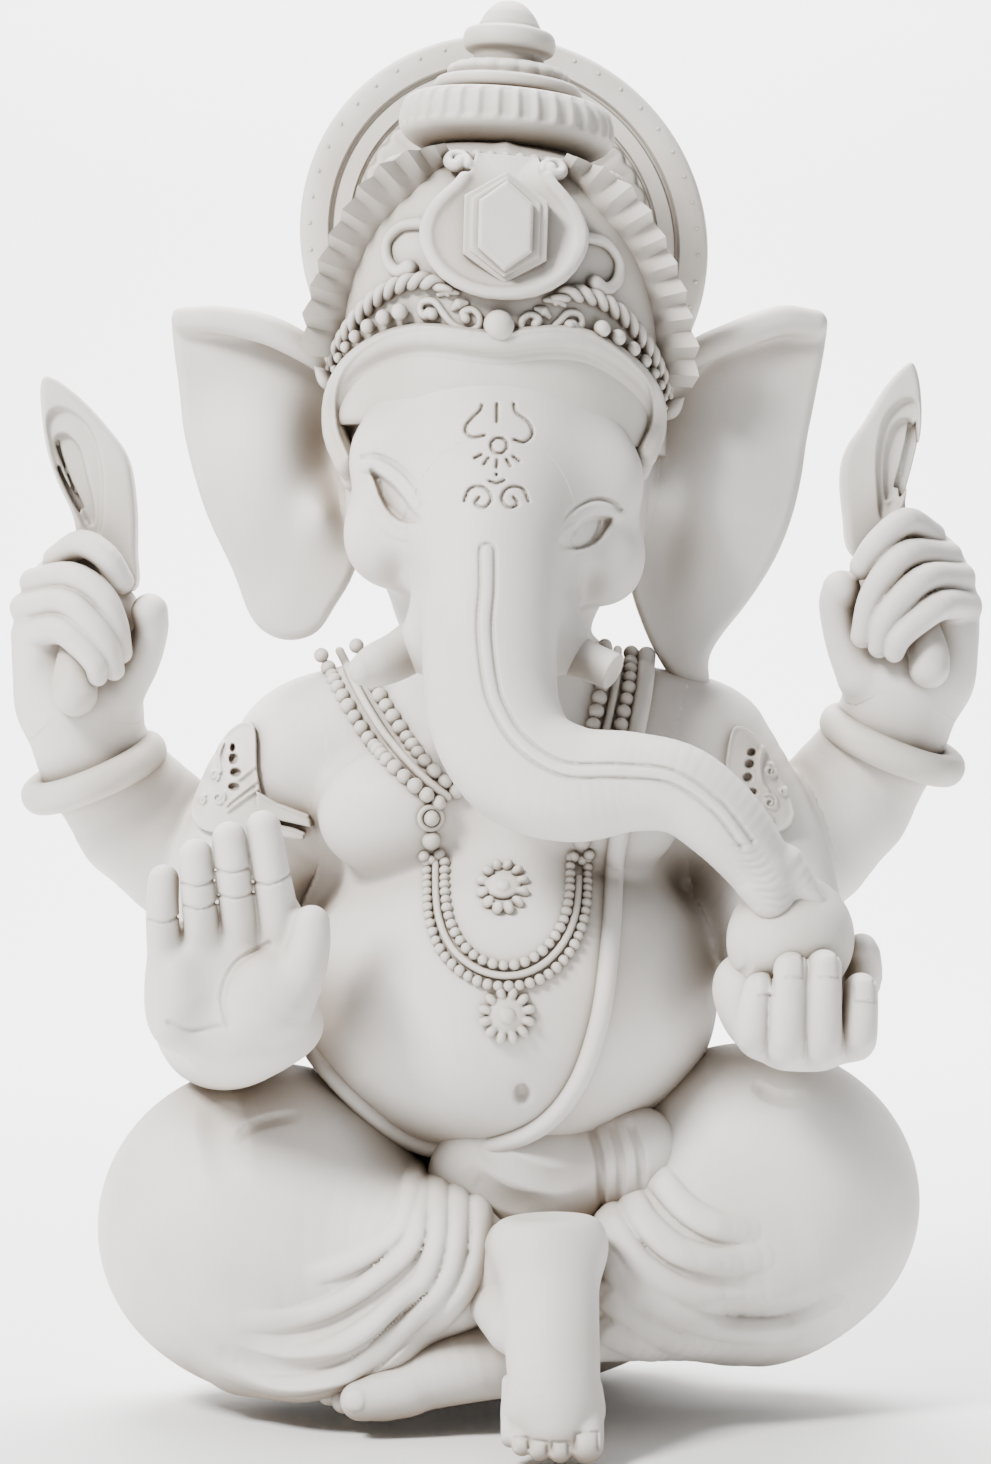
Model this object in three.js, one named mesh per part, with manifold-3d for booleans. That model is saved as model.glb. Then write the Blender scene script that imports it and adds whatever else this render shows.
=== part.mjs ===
// A seated, four-armed, elephant-headed figure cast in matt white plaster.
// Millimetres, +Z up. The figure faces -Y; left and right are its own, so its right hand is at -X.
// The origin is the middle of the footprint, on the surface that the figure sits on.
import * as THREE from "three";
import { mergeVertices } from "three/addons/utils/BufferGeometryUtils.js";
import Module from "manifold-3d";

const wasm = await Module();
wasm.setup();

// ---------------------------------------------------------------- driving dimensions

const CLEARANCE = 0.3; // gap left between neighbouring pieces
const SPINE_SETBACK = 17.5; // from the middle of the footprint back to the plane of the spine

const BELLY_HALF_WIDTH = 44;
const BELLY_HALF_DEPTH = 43;
const CHEST_HALF_WIDTH = 40;
const KNEE_REACH = 35; // half width of each folded leg
const UPPER_ARM_RADIUS = 14;
const REAR_ARM_RADIUS = 15;
const WRIST_RADIUS = 12.5;
const FINGER_RADIUS = 3.6;
const BANGLE_TUBE = 4.2;
const ARMLET_HEIGHT = 20;
const ARMLET_PROUD = 1.6;
const BLADE_LENGTH = 41;
const BLADE_THICKNESS = 5;
const SWEET_RADIUS = 12.5;

const HEAD_HALF_WIDTH = 33;
const HEAD_AT = [0.2, 0, 195];
const HEAD_ROLL = THREE.MathUtils.degToRad(4.8); // the left side of the face is the lower one
const HEAD_LEAN = THREE.MathUtils.degToRad(1.7); // the crown leans a little less than the face rolls
const EAR_THICKNESS = 5;
const TUSK_RADIUS = 4.2;
const TRUNK_ROOT_RADIUS = 17;
const TRUNK_TIP_RADIUS = 5.6;

const CROWN_RADIUS = HEAD_HALF_WIDTH + 2.8;
const CROWN_FOOT = 8; // foot of the crown above the middle of the head
const CROWN_HEIGHT = 64; // foot to the top of the dome
const CROWN_AXIS_DEPTH = -6;
const DISC_RADIUS = 22.8;
const DISC_HEIGHT = 14;
const CAP_RADIUS = 14;
const CAP_HEIGHT = 5.5;
const FINIAL_RADIUS = 10;
const FINIAL_HEIGHT = 14;
const TIER_SINK = 0.6; // each tier starts this far inside the one below it
const HALO_RADIUS = 45.3;
const HALO_THICKNESS = 5;
const HALO_RAY_RADIUS = 37;
const HALO_RAY_PROUD = 2;

const BEAD_STRAND_RADIUS = 1.5;
const CORD_RADIUS = 1.1;
const COLLAR_STRAND_RADIUS = 2.4;
const THREAD_RADIUS = 2;
const PENDANT_RADIUS = 5.6;
const PENDANT_THICKNESS = 3;
const PEARLS_PER_ROW = 8;

const BELLY = { at: [3, -8, 86], radii: [BELLY_HALF_WIDTH, BELLY_HALF_DEPTH, 36] };
const CHEST = { at: [2, -2, 126], radii: [CHEST_HALF_WIDTH, 30, 25] };
const BACK = { at: [0, 14, 98], radii: [40, 28, 52] };
const NECK = { at: [0, -4, 152], radii: [24, 24, 20] };
const RIGHT_BREAST = { at: [-19, -23, 124], radii: [15, 14, 11] };
const LEFT_BREAST = { at: [21, -23, 124], radii: [15, 14, 11] };
const YOKE = { at: [0, 0, 143], radii: [HEAD_HALF_WIDTH + 13, 22, 18] };
const TORSO_PARTS = [BELLY, CHEST, BACK, NECK, YOKE, RIGHT_BREAST, LEFT_BREAST];

// ---------------------------------------------------------------- shape helpers

const LIMB_SIDES = 8;
const CAP_RINGS = 2;
const FINE_SIDES = 12; // round a ball wider than FINE_RADIUS
const MIDDLE_SIDES = 8;
const COARSE_SIDES = 6; // round a ball narrower than COARSE_RADIUS
const FINE_RADIUS = 20;
const COARSE_RADIUS = 8;

// Closed three.js geometry to a solid: only positions are kept and collapsed triangles are dropped.
function solidOf(geometry) {
  const bare = geometry.clone();
  bare.deleteAttribute("normal");
  bare.deleteAttribute("uv");
  const merged = mergeVertices(bare, 1e-4);
  const index = merged.index.array;
  const kept = [];
  for (let i = 0; i < index.length; i += 3) {
    const [a, b, c] = [index[i], index[i + 1], index[i + 2]];
    if (a !== b && b !== c && c !== a) kept.push(a, b, c);
  }
  const mesh = new wasm.Mesh({
    numProp: 3,
    vertProperties: merged.attributes.position.array,
    triVerts: new Uint32Array(kept),
  });
  return new wasm.Manifold(mesh);
}

// Solid to an indexed three.js geometry with flat shading normals.
function geometryOf(solid) {
  const mesh = solid.getMesh();
  const geometry = new THREE.BufferGeometry();
  geometry.setAttribute("position", new THREE.BufferAttribute(mesh.vertProperties, 3));
  geometry.setIndex(new THREE.BufferAttribute(mesh.triVerts, 1));
  geometry.computeVertexNormals();
  return geometry;
}

function joined(solids) {
  return solids.reduce((whole, next) => whole.add(next));
}

// An ellipsoid.
function ball({ at, radii }, grow) {
  const widest = Math.max(...radii);
  const small = widest < COARSE_RADIUS ? COARSE_SIDES : MIDDLE_SIDES;
  const sides = widest > FINE_RADIUS ? FINE_SIDES : small;
  const geometry = new THREE.SphereGeometry(1, sides, sides / 2 + 1);
  geometry.scale(radii[0] + grow, radii[1] + grow, radii[2] + grow);
  geometry.translate(...at);
  return solidOf(geometry);
}

// Rings of points joined into one closed skin, with a pole at each end.
function skin(rings, firstPole, lastPole) {
  const sides = rings[0].length;
  const points = [...rings.flat(), firstPole, lastPole];
  const first = points.length - 2;
  const last = points.length - 1;
  const faces = [];
  for (let side = 0; side < sides; side++) {
    const next = (side + 1) % sides;
    faces.push(first, next, side);
    for (let ring = 0; ring + 1 < rings.length; ring++) {
      const low = ring * sides;
      const high = low + sides;
      faces.push(low + side, low + next, high + next);
      faces.push(low + side, high + next, high + side);
    }
    const top = (rings.length - 1) * sides;
    faces.push(last, top + side, top + next);
  }
  const geometry = new THREE.BufferGeometry().setFromPoints(points);
  geometry.setIndex(faces);
  return solidOf(geometry);
}

// Points evenly round a centre, in the plane of two directions.
function ringAround(centre, normal, binormal, radius, sides) {
  const ring = [];
  for (let side = 0; side < sides; side++) {
    const angle = (2 * Math.PI * side) / sides;
    const point = centre.clone();
    point.addScaledVector(normal, radius * Math.cos(angle));
    point.addScaledVector(binormal, radius * Math.sin(angle));
    ring.push(point);
  }
  return ring;
}

// A round limb through stations [x, y, z, radius], with rounded ends.
function limb(stations, grow, { sides = LIMB_SIDES, steps = 2 * stations.length - 2, radiusAt } = {}) {
  const curve = new THREE.CatmullRomCurve3(stations.map(([x, y, z]) => new THREE.Vector3(x, y, z)));
  const widths = new THREE.CatmullRomCurve3(
    stations.map(([, , , radius], i) => new THREE.Vector3(i, radius, 0)),
  );
  const width = (t) => grow + (radiusAt ? radiusAt(t) : widths.getPoint(t).y);
  const tangents = [];
  for (let step = 0; step <= steps; step++) tangents.push(curve.getTangent(step / steps));
  let normal = new THREE.Vector3(0, 1, 0);
  if (Math.abs(tangents[0].y) > 0.8) normal = new THREE.Vector3(0, 0, 1);
  const rings = [];
  const ends = [];
  for (let step = 0; step <= steps; step++) {
    const t = step / steps;
    const along = tangents[step];
    normal = normal.clone().addScaledVector(along, -normal.dot(along)).normalize();
    const binormal = new THREE.Vector3().crossVectors(along, normal);
    const centre = curve.getPoint(t);
    const radius = width(t);
    const isEnd = step === 0 || step === steps;
    const outward = step === 0 ? -1 : 1;
    const cap = [];
    for (let k = 1; isEnd && k < CAP_RINGS; k++) {
      const angle = (Math.PI / 2) * (k / CAP_RINGS);
      const middle = centre.clone().addScaledVector(along, outward * radius * Math.sin(angle));
      cap.push(ringAround(middle, normal, binormal, radius * Math.cos(angle), sides));
    }
    const body = ringAround(centre, normal, binormal, radius, sides);
    if (isEnd) ends.push(centre.clone().addScaledVector(along, outward * radius));
    if (step === 0) rings.push(...cap.reverse(), body);
    else rings.push(body, ...cap);
  }
  return skin(rings, ends[0], ends[1]);
}

// A turned piece about +Z from a profile of [radius, height] that starts and ends on the axis.
function turned(profile, sides = 18) {
  const points = profile.map(([radius, height]) => new THREE.Vector2(radius, height));
  const geometry = new THREE.LatheGeometry(points, sides);
  geometry.rotateX(Math.PI / 2);
  return geometry;
}

// A closed outline in the X-Z plane given a thickness towards -Y from the depth front.
function plate(outline, front, thickness, bevel = 0) {
  const shape = new THREE.Shape(outline.map(([x, z]) => new THREE.Vector2(x, z)));
  const geometry = new THREE.ExtrudeGeometry(shape, {
    depth: thickness - 2 * bevel,
    bevelEnabled: bevel > 0,
    bevelSize: bevel,
    bevelThickness: bevel,
    bevelSegments: 1,
    steps: 1,
  });
  geometry.rotateX(Math.PI / 2);
  geometry.translate(0, front + thickness - bevel, 0);
  return geometry;
}

// Smooth closed outline through a few points.
function rounded(points, divisions) {
  const curve = new THREE.CatmullRomCurve3(points.map(([x, z]) => new THREE.Vector3(x, z, 0)), true);
  return curve.getPoints(divisions).slice(0, -1).map((point) => [point.x, point.y]);
}

// Depth of the front of the torso above the point x, z of the X-Z plane.
function torsoFront(x, z) {
  let front = 0;
  for (const { at, radii } of TORSO_PARTS) {
    const inside = 1 - ((x - at[0]) / radii[0]) ** 2 - ((z - at[2]) / radii[2]) ** 2;
    if (inside > 0) front = Math.min(front, at[1] - radii[1] * Math.sqrt(inside));
  }
  return front;
}

// Stations of a cord that lies on the torso along x, z points.
function onTorso(points, radius) {
  return points.map(([x, z]) => [x, torsoFront(x, z) - radius * 0.7, z, radius]);
}

// ---------------------------------------------------------------- the head's own frame

// Head coordinates to figure coordinates: the face rolls about the line of sight, the crown leans.
const headFrame = new THREE.Matrix4().makeBasis(
  new THREE.Vector3(Math.cos(HEAD_ROLL), 0, -Math.sin(HEAD_ROLL)),
  new THREE.Vector3(0, 1, 0),
  new THREE.Vector3(Math.sin(HEAD_LEAN), 0, Math.cos(HEAD_LEAN)),
);
headFrame.setPosition(...HEAD_AT);

function onHead(solid) {
  return solid.transform(headFrame.elements);
}

// Radius of the crown's dome at a height above the middle of the head.
function crownRadiusAt(height) {
  const share = THREE.MathUtils.clamp((height - CROWN_FOOT) / CROWN_HEIGHT, 0, 1);
  return CROWN_RADIUS * (1 - share ** 5) ** 0.5;
}

// Depth of the crown's front at x and a height, in the head's frame.
function crownFront(x, height) {
  const radius = crownRadiusAt(height);
  return CROWN_AXIS_DEPTH - Math.sqrt(Math.max(radius ** 2 - x ** 2, 0));
}

// Stations of a moulding that lies on the crown along x, height points of one side.
function onCrown(points, radius, side = 1) {
  return points.map(([x, height]) => [side * x, crownFront(x, height) - 0.6 * radius, height, radius]);
}

// ---------------------------------------------------------------- body

function torso(grow) {
  return joined(TORSO_PARTS.map((part) => ball(part, grow)));
}

function seat(grow) {
  return ball({ at: [0, 13, 30], radii: [54, 33, 36] }, grow);
}

const RIGHT_CUFF = [-4, -46, 38];

function rightLeg(grow) {
  const thigh = ball({ at: [-48, -13, 36.5], radii: [KNEE_REACH, 33, 38] }, grow);
  const shin = limb([[-44, -20, 30, 24], [-22, -34, 31, 23], [...RIGHT_CUFF, 15]], grow);
  return thigh.add(shin);
}

function leftLeg(grow) {
  const thigh = ball({ at: [54, -10, 37.5], radii: [KNEE_REACH, 32, 39] }, grow);
  const shin = limb([[50, -18, 26, 22], [28, -34, 25, 17], [8, -44, 20, 13]], grow);
  return thigh.add(shin);
}

const TOE_COUNT = 5;

function rightFoot(grow) {
  const foot = limb([[-2, -48, 42, 10], [7, -62, 36, 11.5], [10, -68, 22, 9.5], [12, -70, 9, 8.5]], grow);
  const toes = [];
  for (let toe = 0; toe < TOE_COUNT; toe++) {
    const radius = 3.2 - 0.28 * toe;
    toes.push(ball({ at: [19 - 4 * toe, -76, radius + 0.4], radii: [radius, 5, radius] }, grow));
  }
  return joined([foot, ...toes]);
}

function leftFoot(grow) {
  const sole = limb([[6, -44, 13, 9], [-14, -47, 11, 9.5], [-26, -45, 9.5, 8]], grow);
  const bigToe = limb([[-24, -47, 9, 4], [-30, -47, 8.5, 3.8]], grow);
  const smallToes = limb([[-28, -43, 7, 4], [-36, -40, 6.5, 3.4]], grow);
  return joined([sole, bigToe, smallToes]);
}

function waistSash(grow) {
  const flap = [[-6, 53], [22, 52], [20, 43], [14, 38], [4, 39]];
  return solidOf(plate(flap, -48 - grow, 14 + 2 * grow, 1));
}

// ---------------------------------------------------------------- arms and hands

function frontRightArm(grow) {
  const shoulder = [-43, 0, 133, UPPER_ARM_RADIUS + 3];
  const elbow = [-61, 1, 84, UPPER_ARM_RADIUS - 1];
  const wrist = [-54, -40, 80, WRIST_RADIUS - 2];
  return limb([shoulder, [-56, 0, 112, UPPER_ARM_RADIUS - 1], elbow, wrist], grow);
}

function frontLeftArm(grow) {
  const shoulder = [46, 0, 133, UPPER_ARM_RADIUS + 3];
  const elbow = [60, -4, 103, UPPER_ARM_RADIUS - 0.5];
  const wrist = [60, -42, 88, WRIST_RADIUS - 2.5];
  return limb([shoulder, [57, -1, 117, UPPER_ARM_RADIUS], elbow, wrist], grow);
}

const REAR_WRIST_RIGHT = [-87, 4, 136];
const REAR_WRIST_LEFT = [86, 4, 142];

function rearArm(side, wrist, grow) {
  const shoulder = [side * 36, 13, 122, REAR_ARM_RADIUS + 1];
  const elbow = [side * 61, 13, 113, REAR_ARM_RADIUS];
  const [x, y, z] = wrist;
  const forearm = [x - side * 9, y + 5, z - 13, REAR_ARM_RADIUS - 1.5];
  const end = [x - side * 0.5, y - 1, z + 8, WRIST_RADIUS - 0.5];
  return limb([shoulder, elbow, forearm, [...wrist, WRIST_RADIUS], end], grow);
}

const rearRightArm = (grow) => rearArm(-1, REAR_WRIST_RIGHT, grow);
const rearLeftArm = (grow) => rearArm(1, REAR_WRIST_LEFT, grow);

const FINGER_SIDES = 5;

// A finger through [x, y, z] joints, thinner towards its tip.
function finger(joints, radius, grow) {
  const last = joints.length - 1;
  const stations = joints.map((joint, i) => [...joint, radius * (1 - (0.12 * i) / last)]);
  return limb(stations, grow, { sides: FINGER_SIDES, steps: last + 1 });
}

function blessingHand(grow) {
  const palm = ball({ at: [-51, -55, 88], radii: [17, 9, 15] }, grow);
  const heel = ball({ at: [-50, -52, 80], radii: [13, 11, 9] }, grow);
  const thumb = finger([[-40, -56, 84], [-35, -59, 94], [-36, -60, 103]], FINGER_RADIUS + 1.4, grow);
  const roots = [[-64, 97], [-58, 99], [-50.5, 101], [-42, 101]];
  const tips = [[-64.5, 110.5], [-60, 115.5], [-53.5, 119.5], [-46, 122]];
  const fingers = roots.map(([x, z], i) => {
    const [tipX, tipZ] = tips[i];
    return finger([[x, -55, z - 8], [x, -59, z], [tipX, -58, tipZ]], FINGER_RADIUS, grow);
  });
  return joined([palm, heel, thumb, ...fingers]);
}

const SWEET_AT = [58, -61, 101];

function sweetBall(grow) {
  const radius = SWEET_RADIUS;
  return ball({ at: SWEET_AT, radii: [radius, radius, radius] }, grow);
}

function sweetHand(grow) {
  const [x, y, z] = SWEET_AT;
  const palm = ball({ at: [x + 1.5, y + 2, z - 17], radii: [16.5, 13, 10] }, grow);
  const wristSide = ball({ at: [x - 7, y + 10, z - 11], radii: [11, 10, 10] }, grow);
  const thumb = finger([[x + 14, y + 8, z - 14], [x + 16, y + 6, z - 4]], FINGER_RADIUS + 0.3, grow);
  const tips = [[-7, -9.5], [-1.2, -5.2], [5.8, -4.8], [12.6, -9]];
  const fingers = tips.map(([dx, dz]) => {
    const root = [x + dx * 0.95, y - 8, z - 22];
    return finger([root, [x + dx, y - 13, z - 14], [x + dx, y - 12, z + dz]], FINGER_RADIUS, grow);
  });
  return joined([palm, wristSide, thumb, ...fingers]);
}

// A rear fist about its own centre, its curled fingers towards the figure's middle.
function rearHand(side, [x, y, z], grow) {
  const place = (u, v, w) => [x - side * u, y + v, z + w];
  const palm = ball({ at: place(-1, 2, 2), radii: [15, 10, 15] }, grow);
  const fingers = [0, 1, 2, 3].map((row) => {
    const up = 9 - 6.2 * row;
    const joints = [place(-8, -5, up + 2), place(2, -11, up), place(9, -6, up - 2)];
    return finger(joints, FINGER_RADIUS, grow);
  });
  const thumb = finger([place(6, 0, 0), place(13, -4, 6), place(15, -5, 11)], FINGER_RADIUS, grow);
  return joined([palm, thumb, ...fingers]);
}

const RIGHT_FIST = [REAR_WRIST_RIGHT[0] - 2.5, 0, REAR_WRIST_RIGHT[2] + 22];
const LEFT_FIST = [REAR_WRIST_LEFT[0] + 3, 0, REAR_WRIST_LEFT[2] + 21];
const rearRightHand = (grow) => rearHand(-1, RIGHT_FIST, grow);
const rearLeftHand = (grow) => rearHand(1, LEFT_FIST, grow);

const BANGLE_DIP = THREE.MathUtils.degToRad(12); // the front of the ring is the lower side
const BANGLE_TILT = THREE.MathUtils.degToRad(22); // its outer side hangs lower than its inner side
const BANGLE_SLACK = 0.2; // extra gap round the bent wrist

function bangle(side, wrist, grow) {
  const tube = BANGLE_TUBE + grow;
  const geometry = new THREE.TorusGeometry(WRIST_RADIUS + 0.6 * BANGLE_TUBE - 1.5, tube, 6, 16);
  geometry.rotateX(BANGLE_DIP);
  geometry.rotateY(side * BANGLE_TILT);
  geometry.translate(wrist[0] - side * 1, wrist[1], wrist[2] - 4);
  return solidOf(geometry);
}

const rearRightBangle = (grow) => bangle(-1, REAR_WRIST_RIGHT, grow);
const rearLeftBangle = (grow) => bangle(1, REAR_WRIST_LEFT, grow);

// A leaf-shaped blade that rises out of a fist, with a round stem through the grip.
function blade(side, [x, y, z], lean) {
  const length = BLADE_LENGTH;
  const leaf = [[-5, 0], [-7, 0.3 * length], [-5, 0.68 * length], [4, length], [6, 0.97 * length]];
  leaf.push([7.6, 0.62 * length], [5, 0.3 * length], [4, 0]);
  const geometry = plate(rounded(leaf, 14), -BLADE_THICKNESS / 2, BLADE_THICKNESS);
  geometry.rotateY(lean);
  geometry.scale(side, 1, 1);
  if (side < 0) flip(geometry);
  geometry.translate(x - side * 4, y - 1, z + 14);
  const grip = [x - side, y - 4, z + 4, 3];
  const stem = limb([[x, y - 7, z - 8, 3.6], grip, [x - side * 4, y - 1, z + 17, 3]], 0);
  return solidOf(geometry).add(stem);
}

// Turns the faces of a mirrored, unindexed geometry round.
function flip(geometry) {
  const position = geometry.getAttribute("position");
  const corner = new THREE.Vector3();
  const other = new THREE.Vector3();
  for (let i = 0; i < position.count; i += 3) {
    corner.fromBufferAttribute(position, i);
    other.fromBufferAttribute(position, i + 1);
    position.setXYZ(i, other.x, other.y, other.z);
    position.setXYZ(i + 1, corner.x, corner.y, corner.z);
  }
}

const rightBlade = () => blade(-1, RIGHT_FIST, THREE.MathUtils.degToRad(8));
const leftBlade = () => blade(1, LEFT_FIST, THREE.MathUtils.degToRad(0));

const ARMLET_SPAN = 60; // wider than any arm
const ARMLET_TURN = THREE.MathUtils.degToRad(18);

// A band round an upper arm: the arm's own shape, a little proud, between two slanted cuts.
function armlet(arm, side, at, grow) {
  const slab = new THREE.BoxGeometry(ARMLET_SPAN, ARMLET_SPAN, ARMLET_HEIGHT);
  slab.rotateY(side * ARMLET_TURN);
  slab.translate(...at);
  return arm(ARMLET_PROUD + CLEARANCE + grow).intersect(solidOf(slab));
}

const rightArmlet = (grow) => armlet(frontRightArm, -1, [-54, 0, 131.5], grow);
const leftArmlet = (grow) => armlet(frontLeftArm, 1, [55, 0, 131.5], grow);

const RIBBON_OUTLINE = [[-49, 128.6], [-38.6, 124.4], [-38.4, 121.8], [-40.2, 119.2], [-47.4, 120.6]];
const RIBBON_FRONT = -20;
const RIBBON_THICKNESS = 7;

// Two tied tails of the right armlet's ribbon, as one leaf beside the chest.
function armletRibbon() {
  return solidOf(plate(RIBBON_OUTLINE, RIBBON_FRONT, RIBBON_THICKNESS, 0.6));
}

// ---------------------------------------------------------------- head

function head(grow) {
  const width = HEAD_HALF_WIDTH;
  const skull = ball({ at: [0, -5, 6], radii: [width, 33, 34] }, grow);
  const face = ball({ at: [0, -16, -12], radii: [width - 2.5, 25, 25] }, grow);
  const jaw = ball({ at: [0, -14, -30], radii: [width - 11, 18, 13] }, grow);
  return onHead(joined([skull, face, jaw]));
}

// The trunk hangs from the brow, sweeps to the figure's left and rests its tip on the sweet.
function trunk(grow) {
  const root = TRUNK_ROOT_RADIUS;
  const tip = TRUNK_TIP_RADIUS;
  const stations = [[0, -32, 192, root - 1], [-1, -47, 169, root - 1], [-0.7, -57, 149, root - 2]];
  stations.push([5, -63, 133, root - 3], [18, -67, 129, root - 5.5], [32, -69, 130, tip + 3]);
  stations.push([43, -68, 127, tip + 2], [52, -66, 118, tip + 1], [57, -63, 110, tip]);
  return limb(stations, grow, { steps: 16 });
}

const RIGHT_EAR_OUTLINE = [[26, 22], [46, 34], [68, 37], [66, 14], [61, -6], [50, -28], [43, -33]];
RIGHT_EAR_OUTLINE.push([30, -22]);
const LEFT_EAR_OUTLINE = [[26, 24], [46, 30], [70, 31], [66, 10], [56, -15], [44, -39], [34, -36]];
LEFT_EAR_OUTLINE.push([22, -26]);

function ear(side, outline) {
  const geometry = plate(rounded(outline, 18), 0, EAR_THICKNESS, 1);
  geometry.scale(side, 1, 1);
  if (side < 0) flip(geometry);
  geometry.translate(side * (HEAD_HALF_WIDTH - 33), 0, 0);
  return onHead(solidOf(geometry));
}

const rightEar = () => ear(-1, RIGHT_EAR_OUTLINE);
const leftEar = () => ear(1, LEFT_EAR_OUTLINE);

// Stations of a tusk beside the trunk; each is [distance outwards from its flank, y, z, radius].
function beside(side, stations) {
  return stations.map(([out, ...rest]) => [side * (TRUNK_ROOT_RADIUS + out), ...rest]);
}

function rightTusk(grow) {
  const radius = TUSK_RADIUS;
  const stations = [[-7, -32, 161, radius + 1], [5, -42, 157, radius], [13, -46, 155, radius - 0.8]];
  return limb(beside(-1, stations), grow);
}

// The left tusk is the broken one: a short stump in its sheath.
function leftTusk(grow) {
  const radius = TUSK_RADIUS;
  const stations = [[-5, -34, 160, radius + 1], [-1, -40, 158, radius + 0.6], [4, -44, 156, radius - 0.4]];
  return limb(beside(1, stations), grow);
}

// ---------------------------------------------------------------- crown and halo

const DOME_STEPS = 6;

function crownDome(grow) {
  const foot = CROWN_FOOT - grow;
  const profile = [[0, foot]];
  for (let step = 0; step < DOME_STEPS; step++) {
    const share = step / DOME_STEPS;
    const height = CROWN_FOOT + CROWN_HEIGHT * (1 - (1 - share) ** 1.7);
    profile.push([crownRadiusAt(height) + grow, step === 0 ? foot : height + grow * share]);
  }
  profile.push([0, CROWN_FOOT + CROWN_HEIGHT + grow]);
  const geometry = turned(profile);
  geometry.translate(0, CROWN_AXIS_DEPTH, 0);
  return onHead(solidOf(geometry));
}

// One storey of the crown's top, turned about the crown's axis, that stands on a given height.
function tier(profile, stand, grow) {
  const widened = profile.map(([radius, height], i) => {
    const inner = i === 0 || i === profile.length - 1;
    const rise = i < profile.length / 2 ? -grow : grow;
    return [inner ? 0 : radius + grow, stand + height + rise];
  });
  const geometry = turned(widened, 16);
  geometry.translate(0, CROWN_AXIS_DEPTH, 0);
  return onHead(solidOf(geometry));
}

const DISC_STAND = CROWN_FOOT + CROWN_HEIGHT - 3;
const CAP_STAND = DISC_STAND + DISC_HEIGHT - TIER_SINK;
const FINIAL_STAND = CAP_STAND + CAP_HEIGHT - TIER_SINK;

function crownDisc(grow) {
  const rim = DISC_RADIUS;
  const high = DISC_HEIGHT;
  const profile = [[0, 0], [rim - 6.5, 0], [rim - 1, 0.36 * high], [rim, 0.5 * high]];
  profile.push([rim, 0.8 * high], [rim - 2.5, high], [0, high]);
  return tier(profile, DISC_STAND, grow);
}

function crownCap(grow) {
  const profile = [[0, 0], [CAP_RADIUS, 0], [CAP_RADIUS, 0.55 * CAP_HEIGHT]];
  profile.push([CAP_RADIUS - 4, CAP_HEIGHT], [0, CAP_HEIGHT]);
  return tier(profile, CAP_STAND, grow);
}

function crownFinial(grow) {
  const ring = FINIAL_RADIUS;
  const high = FINIAL_HEIGHT;
  const profile = [[0, 0], [ring - 2, 0], [ring - 2.4, 0.2 * high], [ring, 0.3 * high]];
  profile.push([ring, 0.52 * high], [ring - 4, 0.62 * high], [ring - 5.4, 0.86 * high], [0, high]);
  return tier(profile, FINIAL_STAND, grow);
}

const HALO_HEIGHT = 56; // middle of the halo above the middle of the head
const HALO_FRONT = CROWN_AXIS_DEPTH + CROWN_RADIUS - 2;

function round(radius, front, thickness, sides = 24) {
  const geometry = new THREE.CylinderGeometry(radius, radius, thickness, sides);
  geometry.translate(0, front + thickness / 2, HALO_HEIGHT);
  return geometry;
}

function haloDisc(grow) {
  return onHead(solidOf(round(HALO_RADIUS + grow, HALO_FRONT - grow, HALO_THICKNESS + 2 * grow)));
}

// The petals' ring in front of the halo: a low many-sided plate with a scalloped edge.
function haloRays() {
  const petals = 16;
  const outline = [];
  for (let petal = 0; petal < 2 * petals; petal++) {
    const angle = (Math.PI * petal) / petals;
    const reach = petal % 2 === 0 ? HALO_RAY_RADIUS : HALO_RAY_RADIUS - 1.6;
    outline.push([reach * Math.cos(angle), HALO_HEIGHT + reach * Math.sin(angle)]);
  }
  const front = HALO_FRONT - CLEARANCE - HALO_RAY_PROUD;
  return onHead(solidOf(plate(outline, front, HALO_RAY_PROUD)));
}

const BROW_PATH = [[33, 6], [32.5, 14], [28, 19.5], [20, 23], [11, 25], [5, 24.6], [0, 24]];

function browBand(grow) {
  const right = onCrown(BROW_PATH, 3, -1);
  const left = onCrown(BROW_PATH.slice(0, -1), 3, 1).reverse();
  return onHead(limb([...right, ...left], grow, { sides: 5, steps: 14 }));
}

function crownPath(points, radius, side, options = {}) {
  return (grow) => onHead(limb(onCrown(points, radius, side), grow, { sides: 5, ...options }));
}

const FAN_PATH = [[35, 30], [34, 42], [31, 51], [25, 59], [17, 64.5], [11, 66.5]];
const SIDE_SCROLL_PATH = [[16.6, 48.5], [20.2, 48.5], [23.2, 44.3], [22.2, 39.8], [18.8, 38.8]];
const ROPE_PATH = [[34, 25.5], [31, 30], [27, 33.4], [22, 35.8], [17, 37.2], [12.6, 36.6]];
const BROW_SCROLL_PATH = [[16, 31.6], [13, 33.2], [9.5, 30.8], [6, 29]];
const PEARL_PATH = [[34.6, 19.3], [33, 22.6], [29.5, 25.6], [25, 28], [19, 29.6]];

// A row of pearls that grow towards the brow, threaded on a thin core.
function pearlRow(side) {
  const radiusAt = (t) => {
    const size = 0.8 + 0.7 * t;
    const swell = Math.abs(Math.sin(Math.PI * PEARLS_PER_ROW * t));
    return size * (0.45 + 0.55 * swell ** 0.6);
  };
  const options = { sides: 4, steps: 2 * PEARLS_PER_ROW, radiusAt };
  return crownPath(PEARL_PATH, 1.8, side, options);
}

const LYRE_PATH = [[8.6, 62], [12.6, 55.5], [14.7, 47], [9.3, 38], [0, 34.7]];

function crownLyre(grow) {
  const right = onCrown(LYRE_PATH, 1.9, -1);
  const left = onCrown(LYRE_PATH.slice(0, -1), 1.9, 1).reverse();
  return onHead(limb([...right, ...left], grow, { sides: 5, steps: 12 }));
}

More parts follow.
